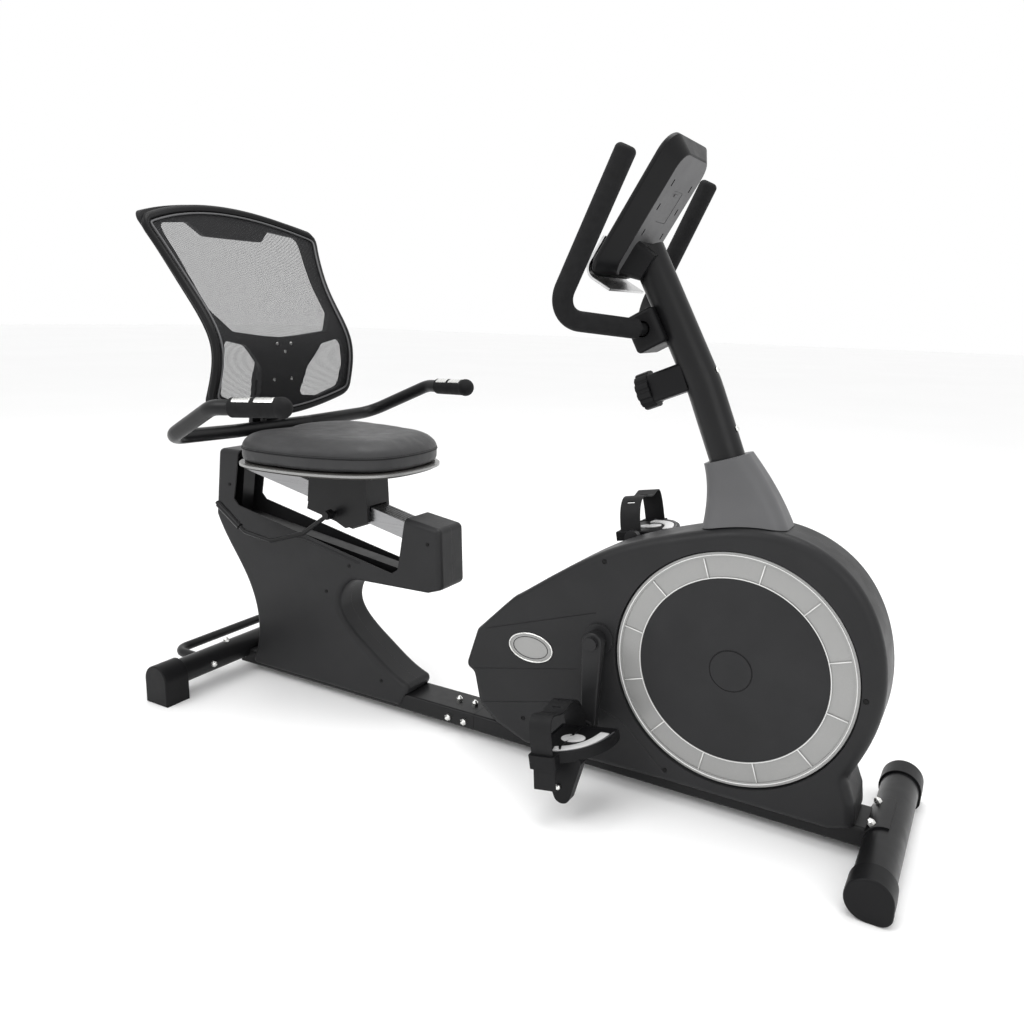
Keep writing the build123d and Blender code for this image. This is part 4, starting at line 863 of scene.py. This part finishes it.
def make_ring_highlights():
    """Pale beads round the edges of the silver ring of each side disc and along its ribs: painted highlights.
    """
    low, high = (Vector(c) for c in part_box("disc_rings"))
    hub = (low + high) / 2
    for side, facing in (("right", -1), ("left", 1)):
        face_y = facing * (high.y + 0.0001)

        def build(bm, face_y=face_y):
            spot = Vector((hub.x, face_y, hub.z))
            for radius, bead in ((RING_OUTER_R, RING_OUTER_BEAD), (RING_INNER_R, RING_INNER_BEAD)):
                add_tube(bm, ellipse(spot, radius, radius, 1, 120), bead, closed=True, sides=6)
            for k in range(RIB_COUNT):
                angle = FULL_TURN * k / RIB_COUNT + RIB_TURN
                way = Vector((math.cos(angle), 0, math.sin(angle)))
                start = spot + way * RIB_START_R
                add_tube(bm, [start, start + way * RIB_LONG], RIB_BEAD, sides=6)

        # these beads are painted highlights riding on the ring's edges and ribs
        highlight_beads = new_piece("ring_painted_highlights_" + side, build)
        highlight_beads.data.materials.append(PAINTED_HIGHLIGHT_EDGE)
        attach(highlight_beads, "flywheel")


# corners of the moulded step, in X and Z, from the back of the pedestal to under the window
CREASE_CORNERS = [
    (-0.776, 0.434), (-0.706, 0.373), (-0.632, 0.352), (-0.546, 0.376), (-0.500, 0.380), (-0.330, 0.347),
]
COVER_FACE_Y = 0.0474


def make_cover_creases():
    """Moulded step under the pedestal window: a rounded edge that runs across each side of the cover."""
    for side, facing in (("right", -1), ("left", 1)):
        path = [Vector((x, facing * COVER_FACE_Y, z)) for x, z in CREASE_CORNERS]
        rounded = [path[0]]
        for here, corner, ahead in zip(path, path[1:], path[2:]):
            before, after = corner.lerp(here, 0.25), corner.lerp(ahead, 0.25)
            for t in (0.0, 0.25, 0.5, 0.75, 1.0):
                rounded.append(before.lerp(corner, t).lerp(corner.lerp(after, t), t))
        rounded.append(path[-1])
        bead = new_piece(
            "cover_crease_" + side,
            lambda bm: add_tube(bm, rounded, 0.0030, sides=10, squash=0.35, flat_dir=Vector((0, 1, 0))),
        )
        bead.data.materials.append(SLOT_SHADES["shell_plastic"])
        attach(bead, "frame")


# ---------------------------------------------------------------- small fittings
def dome(bm, spot, out, radius, height, sides=20):
    """Low round screw head that stands on a surface."""
    side = out.orthogonal().normalized()
    other = out.cross(side)
    rings = []
    for share, rise in ((1.0, 0.0), (1.0, 0.45), (0.86, 0.8), (0.5, 0.98)):
        ring = []
        for k in range(sides):
            angle = FULL_TURN * k / sides
            arm = side * math.cos(angle) + other * math.sin(angle)
            ring.append(bm.verts.new(spot + arm * radius * share + out * height * rise))
        rings.append(ring)
    join_rings(bm, rings)


def make_fittings():
    """Screw heads on the back frame and the post, and a bolt on each pedal's weight lobe."""
    forward = Vector((1, 0, 0))
    frame_tree = node_tree("backrest_frame")

    def back_screws(bm):
        for y, z in ((-0.022, 0.824), (0.022, 0.824), (0.0, 0.806), (-0.028, 0.742), (0.028, 0.742)):
            hit = front_of(frame_tree, y, z)
            dome(bm, hit, forward, 0.0042, 0.0024)

    screws = new_piece("back_screws", back_screws)
    screws.data.materials.append(SLOT_SHADES["zinc"])
    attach(screws, "seat")

    post_tree = node_tree("post")
    way = Vector((-0.42, 0, -0.18)).normalized()
    spots = []
    for height in (0.835, 0.717):
        hit = post_tree.ray_cast(Vector((0.9, 0, height + 0.18)), way)[0]
        if hit is not None:
            spots.append(hit)
    post_screws = new_piece("post_screws", lambda bm: [dome(bm, p, -way, 0.006, 0.004) for p in spots])
    post_screws.data.materials.append(SLOT_SHADES["zinc"])
    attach(post_screws, "frame")

    for side, sign in (("right", -1), ("left", 1)):
        low, high = (Vector(c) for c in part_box("pedal_" + side))
        spot = Vector((low.x + 0.40 * (high.x - low.x), sign * 0.2183, low.z + 0.032))
        outward = Vector((0, sign, 0))
        bolt = new_piece("pedal_bolt_" + side, lambda bm: dome(bm, spot, outward, 0.006, 0.006, 6))
        bolt.data.materials.append(SLOT_SHADES["zinc"])
        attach(bolt, side + "_pedal")


PALE_PAD = moulded("pale tread", (0.62, 0.62, 0.62), 0.45, grain=500)
DISPLAY_BAR = moulded("display bar", (0.16, 0.19, 0.17), 0.4)
# pale colour for the beads on the side rings: painted highlights along the ring's edges and ribs
PAINTED_HIGHLIGHT_EDGE = moulded("painted edge highlight", (0.72, 0.72, 0.71), 0.3)

make_badges()
make_pulse_plates()
make_pedal_treads()
make_console_face()
make_ring_highlights()
make_cover_creases()
make_fittings()


# ---------------------------------------------------------------- floor, light and camera
def make_stage():
    """Pale plain floor, a soft white surround and three large soft lamps."""
    floor_mesh = bpy.data.meshes.new("floor")
    reach = 30
    floor_mesh.from_pydata(
        [(-reach, -reach, 0), (reach, -reach, 0), (reach, reach, 0), (-reach, reach, 0)], [], [(0, 1, 2, 3)]
    )
    floor = bpy.data.objects.new("floor", floor_mesh)
    bpy.context.scene.collection.objects.link(floor)
    paint = Shade("pale floor", (0.96, 0.96, 0.96), 0.7, specular=0.1)
    paint.vary_colour(paint.noise(0.6, 2), 0.01)
    floor.data.materials.append(paint.material)

    world = bpy.data.worlds.new("studio")
    bpy.context.scene.world = world
    world.use_nodes = True
    world.node_tree.nodes["Background"].inputs["Color"].default_value = (1, 1, 1, 1)
    world.node_tree.nodes["Background"].inputs["Strength"].default_value = 1.0
    bpy.context.scene.view_settings.view_transform = "Standard"

    for name, place, size, power in (
        ("key", (-1.6, -2.6, 3.2), 2.0, 45),
        ("fill", (3.0, -2.0, 1.8), 2.2, 22),
        ("top", (0.2, 0.3, 3.6), 2.2, 60),
    ):
        lamp = bpy.data.lights.new(name, "AREA")
        lamp.size = size
        lamp.energy = power
        holder = bpy.data.objects.new(name, lamp)
        holder.location = place
        aim = Vector((0, 0, 0.5)) - Vector(place)
        holder.rotation_euler = aim.to_track_quat("-Z", "Y").to_euler()
        bpy.context.scene.collection.objects.link(holder)


def make_camera():
    """Camera at the rider's right, ahead of the bike and a little above it."""
    yaw, pitch, roll = math.radians(29.71), math.radians(12.96), math.radians(1.55)
    back = Vector((math.sin(yaw) * math.cos(pitch), -math.cos(yaw) * math.cos(pitch), math.sin(pitch)))
    level = Vector((math.cos(yaw), math.sin(yaw), 0))
    upright = back.cross(level)
    right = level * math.cos(roll) + upright * math.sin(roll)
    up = upright * math.cos(roll) - level * math.sin(roll)
    lens = bpy.data.cameras.new("camera")
    lens.lens = 30.63
    lens.sensor_width = 36
    holder = bpy.data.objects.new("camera", lens)
    turn = Matrix((right, up, back)).transposed().to_4x4()
    holder.matrix_world = Matrix.Translation(Vector((0.9049, -1.5210, 0.9107))) @ turn
    bpy.context.scene.collection.objects.link(holder)
    bpy.context.scene.camera = holder


make_stage()
make_camera()
